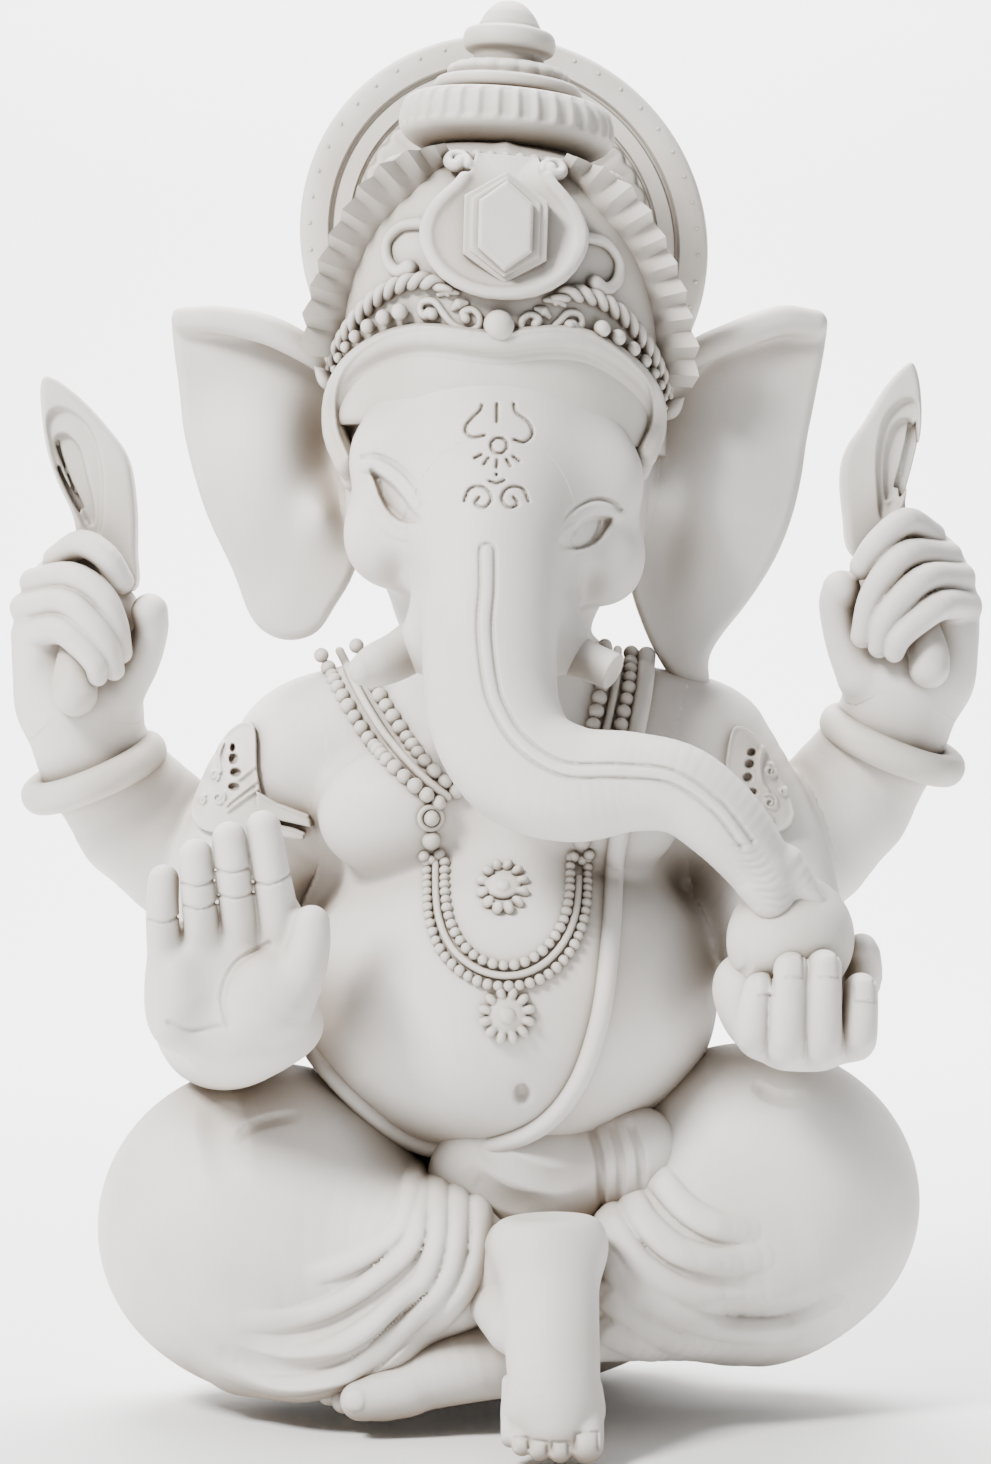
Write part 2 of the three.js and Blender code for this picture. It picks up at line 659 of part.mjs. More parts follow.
const JEWEL_HEIGHT = 48.5;

// A hexagon longer than it is wide, on the crown's front.
function hexagon(halfWidth, halfHeight, proud, thickness) {
  const shoulder = halfHeight * 0.52;
  const outline = [[0, -halfHeight], [halfWidth, -shoulder], [halfWidth, shoulder]];
  outline.push([0, halfHeight], [-halfWidth, shoulder], [-halfWidth, -shoulder]);
  const raised = outline.map(([x, z]) => [x, z + JEWEL_HEIGHT]);
  return onHead(solidOf(plate(raised, crownFront(0, JEWEL_HEIGHT) - proud, thickness, 0.8)));
}

const SETTING_PROUD = 2.8;
const jewelSetting = (grow) => hexagon(8.4 + grow, 11.3 + grow, SETTING_PROUD + grow, 7 + 2 * grow);
const crownJewel = () => hexagon(5.5, 9.1, SETTING_PROUD + CLEARANCE + 2, 2);

function browPearl(grow) {
  return onHead(ball({ at: [0, crownFront(0, 28.5) - 1.6, 28.5], radii: [3, 3, 3] }, grow));
}

// ---------------------------------------------------------------- necklaces and thread

const COLLAR_PATH = [[-34, 158], [-28, 148], [-20, 137], [-10, 127], [3, 122], [15, 127], [22.5, 138]];
COLLAR_PATH.push([26.5, 147], [28, 156]);
const COLLAR_CORD_PATH = [[-28, 161], [-22, 150], [-14, 139], [-5, 131], [3, 128.5], [10, 132]];
COLLAR_CORD_PATH.push([17, 142], [22, 158]);
const LONG_PATH = [[-13.5, 115], [-13, 106], [-8, 96], [3.3, 91], [14, 97], [19, 106], [19.5, 116]];
const LONG_CORD_PATH = [[-10.4, 115], [-10, 107], [-6, 99.5], [3.3, 95], [12, 100], [16, 107.5]];
LONG_CORD_PATH.push([16.6, 116]);
const THREAD_PATH = [[32.4, 152.4], [31.4, 148], [29.8, 141], [28, 133], [26.2, 124], [24.6, 112], [23.4, 98]];
THREAD_PATH.push([20.6, 83], [15.6, 69.4], [7, 60.4], [-8, 55.7]);
THREAD_PATH.push([22 - BELLY_HALF_WIDTH, 59.6], [5 - BELLY_HALF_WIDTH, 75.6]);

function strand(points, radius, steps) {
  return (grow) => limb(onTorso(points, radius), grow, { sides: 4, steps });
}

const collarBeads = strand(COLLAR_PATH, COLLAR_STRAND_RADIUS, 14);
const collarCord = strand(COLLAR_CORD_PATH, COLLAR_STRAND_RADIUS, 12);
const longBeads = strand(LONG_PATH, BEAD_STRAND_RADIUS, 14);
const longCord = strand(LONG_CORD_PATH, CORD_RADIUS, 12);
const sacredThread = strand(THREAD_PATH, THREAD_RADIUS, 26);

// Medallion and bead drop that join the collar to the long strands.
function drop(x) {
  return (grow) => {
    const depth = torsoFront(x, 124) - 1;
    const medallion = ball({ at: [x, depth, 127], radii: [3.2, 2.4, 3.2] }, grow);
    return medallion.add(ball({ at: [x, depth, 121], radii: [2.5, 2.4, 3.6] }, grow));
  };
}

const rightDrop = drop(-13);
const leftDrop = drop(19);

// An eight-petalled flower with a raised round middle, on the chest.
function pendant(x, z) {
  return (grow) => {
    const petals = 8;
    const outline = [];
    for (let point = 0; point < 2 * petals; point++) {
      const angle = (Math.PI * point) / petals;
      const reach = grow + (point % 2 === 0 ? PENDANT_RADIUS : PENDANT_RADIUS * 0.82);
      outline.push([x + reach * Math.cos(angle), z + reach * Math.sin(angle)]);
    }
    const front = torsoFront(x, z) - 1.4 - grow;
    const flower = solidOf(plate(outline, front, PENDANT_THICKNESS + 2 * grow));
    return flower.add(ball({ at: [x, front, z], radii: [2.4, 1.4, 2.4] }, grow));
  };
}

const upperPendant = pendant(1.5, 110);
const lowerPendant = pendant(2.3, 84.5);

// ---------------------------------------------------------------- assembly

function plaster(color, roughness) {
  return new THREE.MeshStandardMaterial({ color, roughness, metalness: 0 });
}

const skinFinish = plaster(0xdcd8d4, 0.85);
const clothFinish = plaster(0xd8d5d2, 0.88);
const ornamentFinish = plaster(0xd0cac2, 0.82);

const figure = new THREE.Group();
figure.position.y = SPINE_SETBACK;

const groundBox = new THREE.BoxGeometry(400, 400, 60);
groundBox.translate(0, 0, -30);
const ground = solidOf(groundBox);

const grownShapes = new Map();

function grown(shape) {
  if (!grownShapes.has(shape)) grownShapes.set(shape, shape(CLEARANCE));
  return grownShapes.get(shape);
}

// Adds one named piece, cut clear of the pieces it meets; loose crumbs of a cut are left out.
function add(name, finish, shape, neighbours = []) {
  let body = shape(0).subtract(ground);
  for (const neighbour of neighbours) body = body.subtract(grown(neighbour));
  const parts = body.decompose().sort((a, b) => b.volume() - a.volume());
  const mesh = new THREE.Mesh(geometryOf(parts[0]), finish);
  mesh.name = name;
  figure.add(mesh);
}

const legs = [torso, rightLeg];
add("torso", skinFinish, torso, [head, trunk]);
add("right_leg", clothFinish, rightLeg, [torso]);
add("left_leg", clothFinish, leftLeg, legs);
add("seat", clothFinish, seat, [...legs, leftLeg]);
add("right_foot", skinFinish, rightFoot, [...legs, leftLeg]);
add("left_foot", skinFinish, leftFoot, [...legs, leftLeg, rightFoot, seat]);
add("waist_sash", clothFinish, waistSash, [...legs, leftLeg, rightFoot, seat]);

add("front_right_arm", skinFinish, frontRightArm, [torso, rightLeg]);
add("front_left_arm", skinFinish, frontLeftArm, [torso, leftLeg, trunk, sweetBall]);
add("rear_right_arm", skinFinish, rearRightArm, [torso, frontRightArm]);
add("rear_left_arm", skinFinish, rearLeftArm, [torso, frontLeftArm]);
add("sweet_ball", ornamentFinish, sweetBall);
add("blessing_hand", skinFinish, blessingHand, [frontRightArm, torso, rightLeg]);
add("sweet_hand", skinFinish, sweetHand, [frontLeftArm, sweetBall, torso, leftLeg]);
add("rear_right_hand", skinFinish, rearRightHand, [rearRightArm]);
add("rear_left_hand", skinFinish, rearLeftHand, [rearLeftArm]);
const rearRightWrist = (grow) => rearRightArm(grow + BANGLE_SLACK);
const rearLeftWrist = (grow) => rearLeftArm(grow + BANGLE_SLACK);
add("rear_right_bangle", ornamentFinish, rearRightBangle, [rearRightWrist, rearRightHand]);
add("rear_left_bangle", ornamentFinish, rearLeftBangle, [rearLeftWrist, rearLeftHand]);
add("right_blade", ornamentFinish, rightBlade, [rearRightHand, rearRightArm]);
add("left_blade", ornamentFinish, leftBlade, [rearLeftHand, rearLeftArm]);
const rightRear = [rearRightArm, rearRightBangle];
const leftRear = [rearLeftArm, rearLeftBangle];
add("right_armlet", ornamentFinish, rightArmlet, [frontRightArm, torso, ...rightRear, blessingHand]);
add("left_armlet", ornamentFinish, leftArmlet, [frontLeftArm, torso, ...leftRear]);
add("armlet_ribbon", ornamentFinish, armletRibbon, [frontRightArm, torso, rightArmlet, blessingHand]);

add("head", skinFinish, head);
add("trunk", skinFinish, trunk, [head, sweetBall, crownDome]);
add("right_ear", skinFinish, rightEar, [head, crownDome, torso, frontRightArm]);
add("left_ear", skinFinish, leftEar, [head, crownDome, torso, frontLeftArm]);
add("right_tusk", ornamentFinish, rightTusk, [head, trunk]);
add("left_tusk", ornamentFinish, leftTusk, [head, trunk]);

add("crown_dome", ornamentFinish, crownDome, [head]);
add("brow_band", ornamentFinish, browBand, [head, crownDome, trunk]);
add("crown_disc", ornamentFinish, crownDisc, [crownDome]);
add("crown_cap", ornamentFinish, crownCap, [crownDisc]);
add("crown_finial", ornamentFinish, crownFinial, [crownCap]);
add("halo_disc", ornamentFinish, haloDisc, [crownDome, crownDisc, head]);
add("halo_rays", ornamentFinish, haloRays, [crownDome, crownDisc, head, haloDisc]);
add("jewel_setting", ornamentFinish, jewelSetting, [crownDome]);
add("crown_jewel", ornamentFinish, crownJewel, [jewelSetting]);
add("crown_lyre", ornamentFinish, crownLyre, [crownDome, jewelSetting]);
add("brow_pearl", ornamentFinish, browPearl, [crownDome, browBand, crownLyre]);
for (const side of [-1, 1]) {
  const hand = side < 0 ? "right" : "left";
  const fan = crownPath(FAN_PATH, 2.4, side);
  const scroll = crownPath(SIDE_SCROLL_PATH, 1.1, side);
  const pearls = pearlRow(side);
  const rope = crownPath(ROPE_PATH, 1.4, side);
  const browScroll = crownPath(BROW_SCROLL_PATH, 1.5, side);
  const crown = [crownDome, head, browBand, crownLyre, crownDisc];
  add(`${hand}_fan`, ornamentFinish, fan, crown);
  add(`${hand}_side_scroll`, ornamentFinish, scroll, crown);
  add(`${hand}_pearl_row`, ornamentFinish, pearls, crown);
  add(`${hand}_brow_scroll`, ornamentFinish, browScroll, [...crown, browPearl, pearls]);
  add(`${hand}_rope`, ornamentFinish, rope, [...crown, browPearl, pearls, browScroll, fan, scroll]);
}

const chest = [torso, head, trunk];
add("collar_beads", ornamentFinish, collarBeads, chest);
add("collar_cord", ornamentFinish, collarCord, [...chest, collarBeads]);
add("right_drop", ornamentFinish, rightDrop, [...chest, collarBeads, collarCord]);
add("left_drop", ornamentFinish, leftDrop, [...chest, collarBeads, collarCord]);
const drops = [rightDrop, leftDrop];
add("long_beads", ornamentFinish, longBeads, [...chest, ...drops]);
add("long_cord", ornamentFinish, longCord, [...chest, ...drops, longBeads]);
add("upper_pendant", ornamentFinish, upperPendant, [torso, trunk, longCord]);
add("lower_pendant", ornamentFinish, lowerPendant, [torso, longBeads]);
const worn = [collarBeads, collarCord, longBeads, leftDrop];
add("sacred_thread", clothFinish, sacredThread, [...chest, ...worn, rightLeg, frontLeftArm]);

export default figure;
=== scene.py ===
"""A seated, four-armed, elephant-headed figure cast in matt white plaster: the look of every piece.

The figure faces -Y. Left and right are its own, so its right hand is on the -X side. The sculpture is
worked out in millimetres in the figure's own frame, whose Y origin is the plane of the spine, and every
mesh is placed in the row frame in metres at the end.
"""

import logging
import math
from dataclasses import dataclass
from enum import Enum
from functools import cached_property
from typing import Callable, Iterable, Sequence

import bpy
import numpy as np
from mathutils import Euler, Matrix, Vector


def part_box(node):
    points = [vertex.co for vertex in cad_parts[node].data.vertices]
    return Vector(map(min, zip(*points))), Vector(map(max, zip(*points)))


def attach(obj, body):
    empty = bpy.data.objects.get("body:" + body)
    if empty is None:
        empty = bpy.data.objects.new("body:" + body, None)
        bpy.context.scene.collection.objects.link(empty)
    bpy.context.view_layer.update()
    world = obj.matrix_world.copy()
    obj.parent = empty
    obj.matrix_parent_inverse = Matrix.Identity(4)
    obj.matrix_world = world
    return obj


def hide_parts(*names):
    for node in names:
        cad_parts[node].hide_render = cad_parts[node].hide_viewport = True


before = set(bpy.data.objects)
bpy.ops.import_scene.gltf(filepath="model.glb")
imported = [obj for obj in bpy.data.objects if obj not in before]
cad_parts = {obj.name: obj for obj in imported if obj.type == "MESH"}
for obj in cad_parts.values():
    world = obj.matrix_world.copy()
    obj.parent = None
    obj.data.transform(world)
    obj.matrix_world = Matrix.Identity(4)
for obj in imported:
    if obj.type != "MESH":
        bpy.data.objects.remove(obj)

LOG = logging.getLogger("figure")

Array = np.ndarray
Field = Callable[[Array], Array]
Row = Sequence[float]

MM = 0.001
FAR = 1e9  # farther than anything in the scene
SIDES = (-1, 1)  # the figure's right is at -X


# ---------------------------------------------------------------- curves


def spline(stations: Sequence[Row], per_span: int = 6, closed: bool = False) -> Array:
    """Smooth curve through rows of numbers.

    Args:
        stations: the rows that the curve passes through.
        per_span: how many rows are made between two stations.
        closed: whether the last station joins the first.

    Returns:
        The rows of the curve.
    """
    rows = np.asarray(stations, float)
    if closed:
        padded = np.vstack([rows[-1:], rows, rows[:2]])
    else:
        padded = np.vstack([2 * rows[0] - rows[1], rows, 2 * rows[-1] - rows[-2]])
    t = (np.arange(per_span) / per_span)[:, None]
    spans = []
    for p0, p1, p2, p3 in zip(padded, padded[1:], padded[2:], padded[3:]):
        bend = 2 * p0 - 5 * p1 + 4 * p2 - p3
        twist = 3 * (p1 - p2) + p3 - p0
        spans.append(0.5 * (2 * p1 + (p2 - p0) * t + bend * t**2 + twist * t**3))
    if not closed:
        spans.append(rows[-1:])
    return np.vstack(spans)


def evenly(path: Array, step: float) -> Array:
    """Rows spread along a path at an even distance.

    Args:
        path: rows whose first three numbers are a place.
        step: the distance wanted, which is stretched a little to fit.

    Returns:
        The spread rows.
    """
    lengths = np.linalg.norm(np.diff(path[:, :3], axis=0), axis=1)
    along = np.concatenate([[0.0], np.cumsum(lengths)])
    count = max(2, int(round(along[-1] / step)) + 1)
    wanted = np.linspace(0, along[-1], count)
    return np.column_stack([np.interp(wanted, along, column) for column in path.T])


def mirrored(rows: Sequence[Row], side: int) -> list[list[float]]:
    """Rows with their first number turned to one side."""
    return [[side * row[0], *row[1:]] for row in rows]


def from_polyline(flat: Array, line: Array) -> Array:
    """Distance of flat points from an open line in the same plane.

    Args:
        flat: points of the plane.
        line: the line's corners.

    Returns:
        One distance for each point.
    """
    nearest = np.full(len(flat), FAR)
    for start, end in zip(line[:-1], line[1:]):
        span = end - start
        offset = flat - start
        share = np.clip(offset @ span / max(span @ span, 1e-9), 0, 1)
        away = offset - share[:, None] * span
        np.minimum(nearest, np.einsum("ij,ij->i", away, away), out=nearest)
    return np.sqrt(nearest)


def from_outline(flat: Array, outline: Array) -> Array:
    """Signed distance of flat points from a closed outline, negative inside it.

    Args:
        flat: points of the plane.
        outline: the outline's corners, without the first one repeated.

    Returns:
        One signed distance for each point.
    """
    ring = np.vstack([outline, outline[:1]])
    away = from_polyline(flat, ring)
    inside = np.zeros(len(flat), bool)
    for (x0, z0), (x1, z1) in zip(ring[:-1], ring[1:]):
        if z0 == z1:
            continue
        crosses = (flat[:, 1] < z0) != (flat[:, 1] < z1)
        inside ^= crosses & (flat[:, 0] < x0 + (flat[:, 1] - z0) * (x1 - x0) / (z1 - z0))
    return np.where(inside, -away, away)


def smooth_step(value: Array, low: float, high: float) -> Array:
    """0 below low, 1 above high and a smooth rise between them."""
    share = np.clip((value - low) / (high - low), 0, 1)
    return share * share * (3 - 2 * share)


# ---------------------------------------------------------------- forms


def soft_min(first: Array, second: Array, soft: float) -> Array:
    """The lower of two distances, with the crease between them filled over a width."""
    if soft <= 0:
        return np.minimum(first, second)
    share = np.maximum(soft - np.abs(first - second), 0) / soft
    return np.minimum(first, second) - share * share * soft * 0.25


def from_box(points: Array, low: Array, high: Array) -> Array:
    """Distance of points from a box, 0 inside it."""
    away = np.maximum(np.maximum(low - points, points - high), 0)
    return np.sqrt(np.einsum("ij,ij->i", away, away))


@dataclass(frozen=True)
class Form:
    """A solid given by its signed distance, negative inside, and the box that holds it."""

    distance: Field
    low: Array
    high: Array

    def joined(self, other: "Form", soft: float = 0.0) -> "Form":
        """Both solids in one.

        Args:
            other: the solid added.
            soft: width of the fillet between them.

        Returns:
            The joined solid.
        """

        def both(points: Array) -> Array:
            near = self.distance(points)
            close = from_box(points, other.low, other.high) < near + soft
            if close.any():
                near[close] = soft_min(near[close], other.distance(points[close]), soft)
            return near

        return Form(both, np.minimum(self.low, other.low), np.maximum(self.high, other.high))

    def carved(self, other: "Form", soft: float = 0.0) -> "Form":
        """This solid without another.

        Args:
            other: the solid taken away.
            soft: width over which the cut's edge is rounded.

        Returns:
            What is left.
        """

        def left(points: Array) -> Array:
            near = self.distance(points)
            close = from_box(points, other.low, other.high) < soft - near
            close |= from_box(points, other.low, other.high) <= 0
            if close.any():
                near[close] = -soft_min(-near[close], other.distance(points[close]), soft)
            return near

        return Form(left, self.low, self.high)

    def within(self, other: "Form", soft: float = 0.0) -> "Form":
        """The part of this solid that is inside another one."""

        def shared(points: Array) -> Array:
            return -soft_min(-self.distance(points), -other.distance(points), soft)

        return Form(shared, np.maximum(self.low, other.low), np.minimum(self.high, other.high))

    def grown(self, amount: float) -> "Form":
        """The solid with its skin moved out."""
        return Form(lambda points: self.distance(points) - amount, self.low - amount, self.high + amount)

    def lifted(self, lift: Field, most: float = 0.0) -> "Form":
        """The solid with its skin moved out by an amount that changes from place to place.

        Args:
            lift: the amount at each point, negative for a hollow.
            most: the most that the skin moves out.

        Returns:
            The worked solid.
        """
        return Form(lambda points: self.distance(points) - lift(points), self.low - most, self.high + most)


def ellipsoid(at: Row, radii: Row, turn: Row = (0, 0, 0)) -> Form:
    """A ball stretched along its own axes.

    Args:
        at: the middle.
        radii: half widths along its own X, Y and Z.
        turn: degrees about X, Y and Z.

    Returns:
        The solid.
    """
    centre = np.array(at, float)
    size = np.array(radii, float)
    axes = np.array(Euler([math.radians(angle) for angle in turn]).to_matrix())
    reach = np.sqrt(((axes * size) ** 2).sum(axis=1))

    def distance(points: Array) -> Array:
        local = ((points - centre) @ axes) / size
        near = np.sqrt(np.einsum("ij,ij->i", local, local)) + 1e-9
        local /= size
        return near * (near - 1) / (np.sqrt(np.einsum("ij,ij->i", local, local)) + 1e-9)

    return Form(distance, centre - reach, centre + reach)


def limb(stations: Sequence[Row], per_span: int = 5) -> Form:
    """A round limb with rounded ends.

    Args:
        stations: rows of x, y, z and radius along the limb.
        per_span: straight pieces between two stations.

    Returns:
        The solid.
    """
    rows = spline(stations, per_span)
    centres, radii = rows[:, :3], rows[:, 3]

    def distance(points: Array) -> Array:
        nearest = np.full(len(points), FAR)
        for start, end, near, far in zip(centres, centres[1:], radii, radii[1:]):
            span = end - start
            offset = points - start
            share = np.clip(offset @ span / (span @ span), 0, 1)
            offset -= share[:, None] * span
            away = np.sqrt(np.einsum("ij,ij->i", offset, offset)) - (near + share * (far - near))
            np.minimum(nearest, away, out=nearest)
        return nearest

    thick = radii[:, None]
    return Form(distance, (centres - thick).min(axis=0), (centres + thick).max(axis=0))


def slab(outline: Array, front: float, back: float, edge: float = 0.0) -> Form:
    """A flat plate whose outline lies in the X-Z plane.

    Args:
        outline: its corners, x and z.
        front: the lower y.
        back: the higher y.
        edge: radius of its rounded edges.

    Returns:
        The solid.
    """
    middle, half = (front + back) / 2, (back - front) / 2 - edge

    def distance(points: Array) -> Array:
        across = from_outline(points[:, [0, 2]], outline) + edge
        deep = np.abs(points[:, 1] - middle) - half
        corner = np.sqrt(np.maximum(across, 0) ** 2 + np.maximum(deep, 0) ** 2)
        return corner + np.minimum(np.maximum(across, deep), 0) - edge

    low = np.array([outline[:, 0].min(), front, outline[:, 1].min()])
    high = np.array([outline[:, 0].max(), back, outline[:, 1].max()])
    return Form(distance, low, high)


def whole(forms: Iterable[Form], soft: float = 0.0) -> Form:
    """Several solids joined into one, with a fillet where they meet."""
    first, *others = forms
    for other in others:
        first = first.joined(other, soft)
    return first


def reached(flat: Array, corners: Array, margin: float) -> Array:
    """Which flat points lie in the box of some corners, widened by a margin."""
    low, high = corners.min(axis=0) - margin, corners.max(axis=0) + margin
    return ((flat > low) & (flat < high)).all(axis=1)


@dataclass(frozen=True)
class Strokes:
    """Lines raised or cut on a surface, seen from the front.

    A negative height cuts a groove. The lines are rows of x and z.
    """

    lines: tuple[Array, ...]
    width: float
    height: float

    def lift(self, flat: Array) -> Array:
        """How far the surface moves out.

        Args:
            flat: x and z of the points.

        Returns:
            One amount for each point.
        """
        out = np.zeros(len(flat))
        close = reached(flat, np.vstack(self.lines), self.width)
        if close.any():
            near = np.full(close.sum(), FAR)
            for line in self.lines:
                np.minimum(near, from_polyline(flat[close], line), out=near)
            out[close] = self.height * (1 - smooth_step(near, 0, self.width))
        return out


def on_front(strokes: Sequence[Strokes], to_flat: Field, before: float) -> Field:
    """The lift of several sets of strokes, on the side of a form that faces -Y.

    Args:
        strokes: the sets.
        to_flat: turns points into the x and z that the strokes are drawn in.
        before: strokes reach only the points whose y is below this.

    Returns:
        A lift for Form.lifted.
    """

    def lift(points: Array) -> Array:
        out = np.zeros(len(points))
        facing = points[:, 1] < before
        if facing.any():
            flat = to_flat(points[facing])
            out[facing] = sum(group.lift(flat) for group in strokes)
        return out

    return lift


SIGHT_FROM = -130.0  # y that a line of sight starts from
SIGHT_TO = 60.0  # y where it is given up
SIGHT_STEPS = 60


def front_of(form: Form, x: Array, z: Array) -> Array:
    """Where lines of sight along +Y first meet a form.

    Args:
        form: the solid.
        x: one x for each line.
        z: one z for each line.

    Returns:
        The y of each meeting.
    """
    points = np.column_stack([x, np.full(len(x), SIGHT_FROM), z]).astype(float)
    for _ in range(SIGHT_STEPS):
        points[:, 1] += np.clip(form.distance(points), -4, 20) * 0.9
    return np.clip(points[:, 1], SIGHT_FROM, SIGHT_TO)


# ---------------------------------------------------------------- shells


@dataclass
class Shell:
    """The skin of a solid: points, and faces grouped by how many corners they have."""

    points: Array
    faces: list[Array]

    def moved(self, place: Field) -> "Shell":
        """The same skin with its points moved by a function."""
        return Shell(place(self.points), self.faces)


def together(shells: Iterable[Shell]) -> Shell:
    """Several skins kept apart in one mesh."""
    points, faces, start = [], [], 0
    for shell in shells:
        points.append(shell.points)
        faces += [group + start for group in shell.faces]
        start += len(shell.points)
    return Shell(np.vstack(points), faces)


BLOCK = 6  # grid points along one side of a block
CHUNK = 300_000  # points measured at once
STRETCH = 1.35  # how far a distance may be out
MARGIN = 2.5  # grid steps left free round a form
PROBE = 0.15  # share of a step between the places where a slope is measured


class Sculptor:
    """Turns a form into a closed skin of small quads."""

    def __init__(self, coarse: float = 1.0) -> None:
        """Keeps how much wider every grain is made."""
        self.coarse = coarse

    def skin(self, form: Form, grain: float) -> Shell:
        """The form's skin.

        Args:
            form: the solid.
            grain: width of one quad.

        Returns:
            The closed skin, on the form's surface.
        """
        step = grain * self.coarse
        low = form.low - MARGIN * step
        values = self._grid(form, low, step)
        points, quads = self._nets(values)
        return Shell(self._settled(form, low + points * step, step), [quads])

    def _grid(self, form: Form, low: Array, step: float) -> Array:
        """Distances on a grid, exact only near the surface."""
        blocks = np.ceil((form.high - low + MARGIN * step) / step / BLOCK).astype(int) + 1
        index = np.stack(np.meshgrid(*map(np.arange, blocks), indexing="ij"), -1).reshape(-1, 3)
        centres = low + (index * BLOCK + (BLOCK - 1) / 2) * step
        rough = self._measured(form, centres)
        near = index[np.abs(rough) < step * (BLOCK + 1) / 2 * math.sqrt(3) * STRETCH]
        inner = np.stack(np.meshgrid(*[np.arange(BLOCK)] * 3, indexing="ij"), -1)
        spots = near[:, None, None, None, :] * BLOCK + inner
        exact = self._measured(form, low + spots.reshape(-1, 3) * step)
        cells = np.broadcast_to(
            rough.reshape(*blocks)[..., None, None, None], (*blocks, BLOCK, BLOCK, BLOCK)
        ).astype(np.float32)
        cells[tuple(near.T)] = exact.reshape(-1, BLOCK, BLOCK, BLOCK)
        return cells.transpose(0, 3, 1, 4, 2, 5).reshape(blocks * BLOCK)

    @staticmethod
    def _measured(form: Form, points: Array) -> Array:
        """The form's distance at many points, a chunk at a time."""
        parts = [form.distance(points[i : i + CHUNK]) for i in range(0, len(points), CHUNK)]
        return np.concatenate(parts) if parts else np.zeros(0)

    @staticmethod
    def _nets(values: Array) -> tuple[Array, Array]:
        """Quads round the places where a grid of distances changes sign.

        Args:
            values: distances on the grid.

        Returns:
            Points in grid steps, and the quads between them.
        """
        inside = values < 0
        counts = np.zeros(np.array(values.shape) - 1, np.int8)
        corners = [(i, j, k) for i in (0, 1) for j in (0, 1) for k in (0, 1)]
        n0, n1, n2 = counts.shape
        for i, j, k in corners:
            counts += inside[i : i + n0, j : j + n1, k : k + n2]
        cells = np.argwhere((counts > 0) & (counts < 8))
        total = np.zeros((len(cells), 3))
        crossings = np.zeros(len(cells))
        for corner in corners:
            for axis in range(3):
                if corner[axis]:
                    continue
                start = np.array(corner)
                step = np.eye(3, dtype=int)[axis]
                first = values[tuple((cells + start).T)]
                second = values[tuple((cells + start + step).T)]
                crosses = (first < 0) != (second < 0)
                share = np.where(crosses, first / np.where(crosses, first - second, 1), 0)
                total += crosses[:, None] * (start + share[:, None] * step)
                crossings += crosses
        ids = np.full(counts.shape, -1, np.int32)
        ids[tuple(cells.T)] = np.arange(len(cells))
        quads = []
        for axis in range(3):
            b, c = (axis + 1) % 3, (axis + 2) % 3
            low, high = [slice(None)] * 3, [slice(None)] * 3
            low[axis], high[axis] = slice(0, -1), slice(1, None)
            spots = np.argwhere(inside[tuple(low)] != inside[tuple(high)])
            starts_inside = inside[tuple(spots.T)]
            ring = []
            for db, dc in ((-1, -1), (0, -1), (0, 0), (-1, 0)):
                shift = np.zeros(3, int)
                shift[b], shift[c] = db, dc
                ring.append(ids[tuple((spots + shift).T)])
            quad = np.stack(ring, 1)
            quad[~starts_inside] = quad[~starts_inside][:, ::-1]
            quads.append(quad)
        return cells + total / crossings[:, None], np.vstack(quads)

    @staticmethod
    def _settled(form: Form, points: Array, step: float) -> Array:
        """Points moved onto the surface along the slope of the distance."""
        spread = PROBE * step
        corners = np.array([(1, -1, -1), (-1, -1, 1), (-1, 1, -1), (1, 1, 1)], float)
        for _ in range(2):
            slope = np.zeros_like(points)
            middle = np.zeros(len(points))
            for corner in corners:
                value = Sculptor._measured(form, points + spread * corner)
                slope += value[:, None] * corner
                middle += value / 4
            slope /= 4 * spread
            steep = np.maximum(np.einsum("ij,ij->i", slope, slope), 0.3)
            points = points - slope * np.clip(middle / steep, -0.5 * step, 0.5 * step)[:, None]
        return points


def swept(path: Array, radii: Array, sides: int = 10) -> Shell:
    """A tube along a path, closed by rounded ends.

    Args:
        path: the places of its middle line.
        radii: its radius at each place.
        sides: points round it.

    Returns:
        The closed skin.
    """
    along = np.gradient(path, axis=0)
    along /= np.linalg.norm(along, axis=1)[:, None]
    caps = np.array([0.35, 0.75, 0.95])
    sink = np.sqrt(1 - caps**2)
    first = path[0] - along[0] * (radii[0] * sink)[:, None]
    last = (path[-1] + along[-1] * (radii[-1] * sink)[:, None])[::-1]
    places = np.vstack([first, path, last])
    directions = np.vstack([along[:1].repeat(3, 0), along, along[-1:].repeat(3, 0)])
    widths = np.concatenate([radii[0] * caps, radii, (radii[-1] * caps)[::-1]])
    side = np.array([0.0, -1.0, 0.0]) if abs(directions[0][1]) < 0.9 else np.array([0.0, 0.0, 1.0])
    angles = 2 * np.pi * np.arange(sides) / sides
    rings = []
    for place, direction, width in zip(places, directions, widths):
        side = side - direction * (side @ direction)
        side /= np.linalg.norm(side)
        other = np.cross(direction, side)
        rings.append(place + width * (np.cos(angles)[:, None] * side + np.sin(angles)[:, None] * other))
    return ringed(np.array(rings))


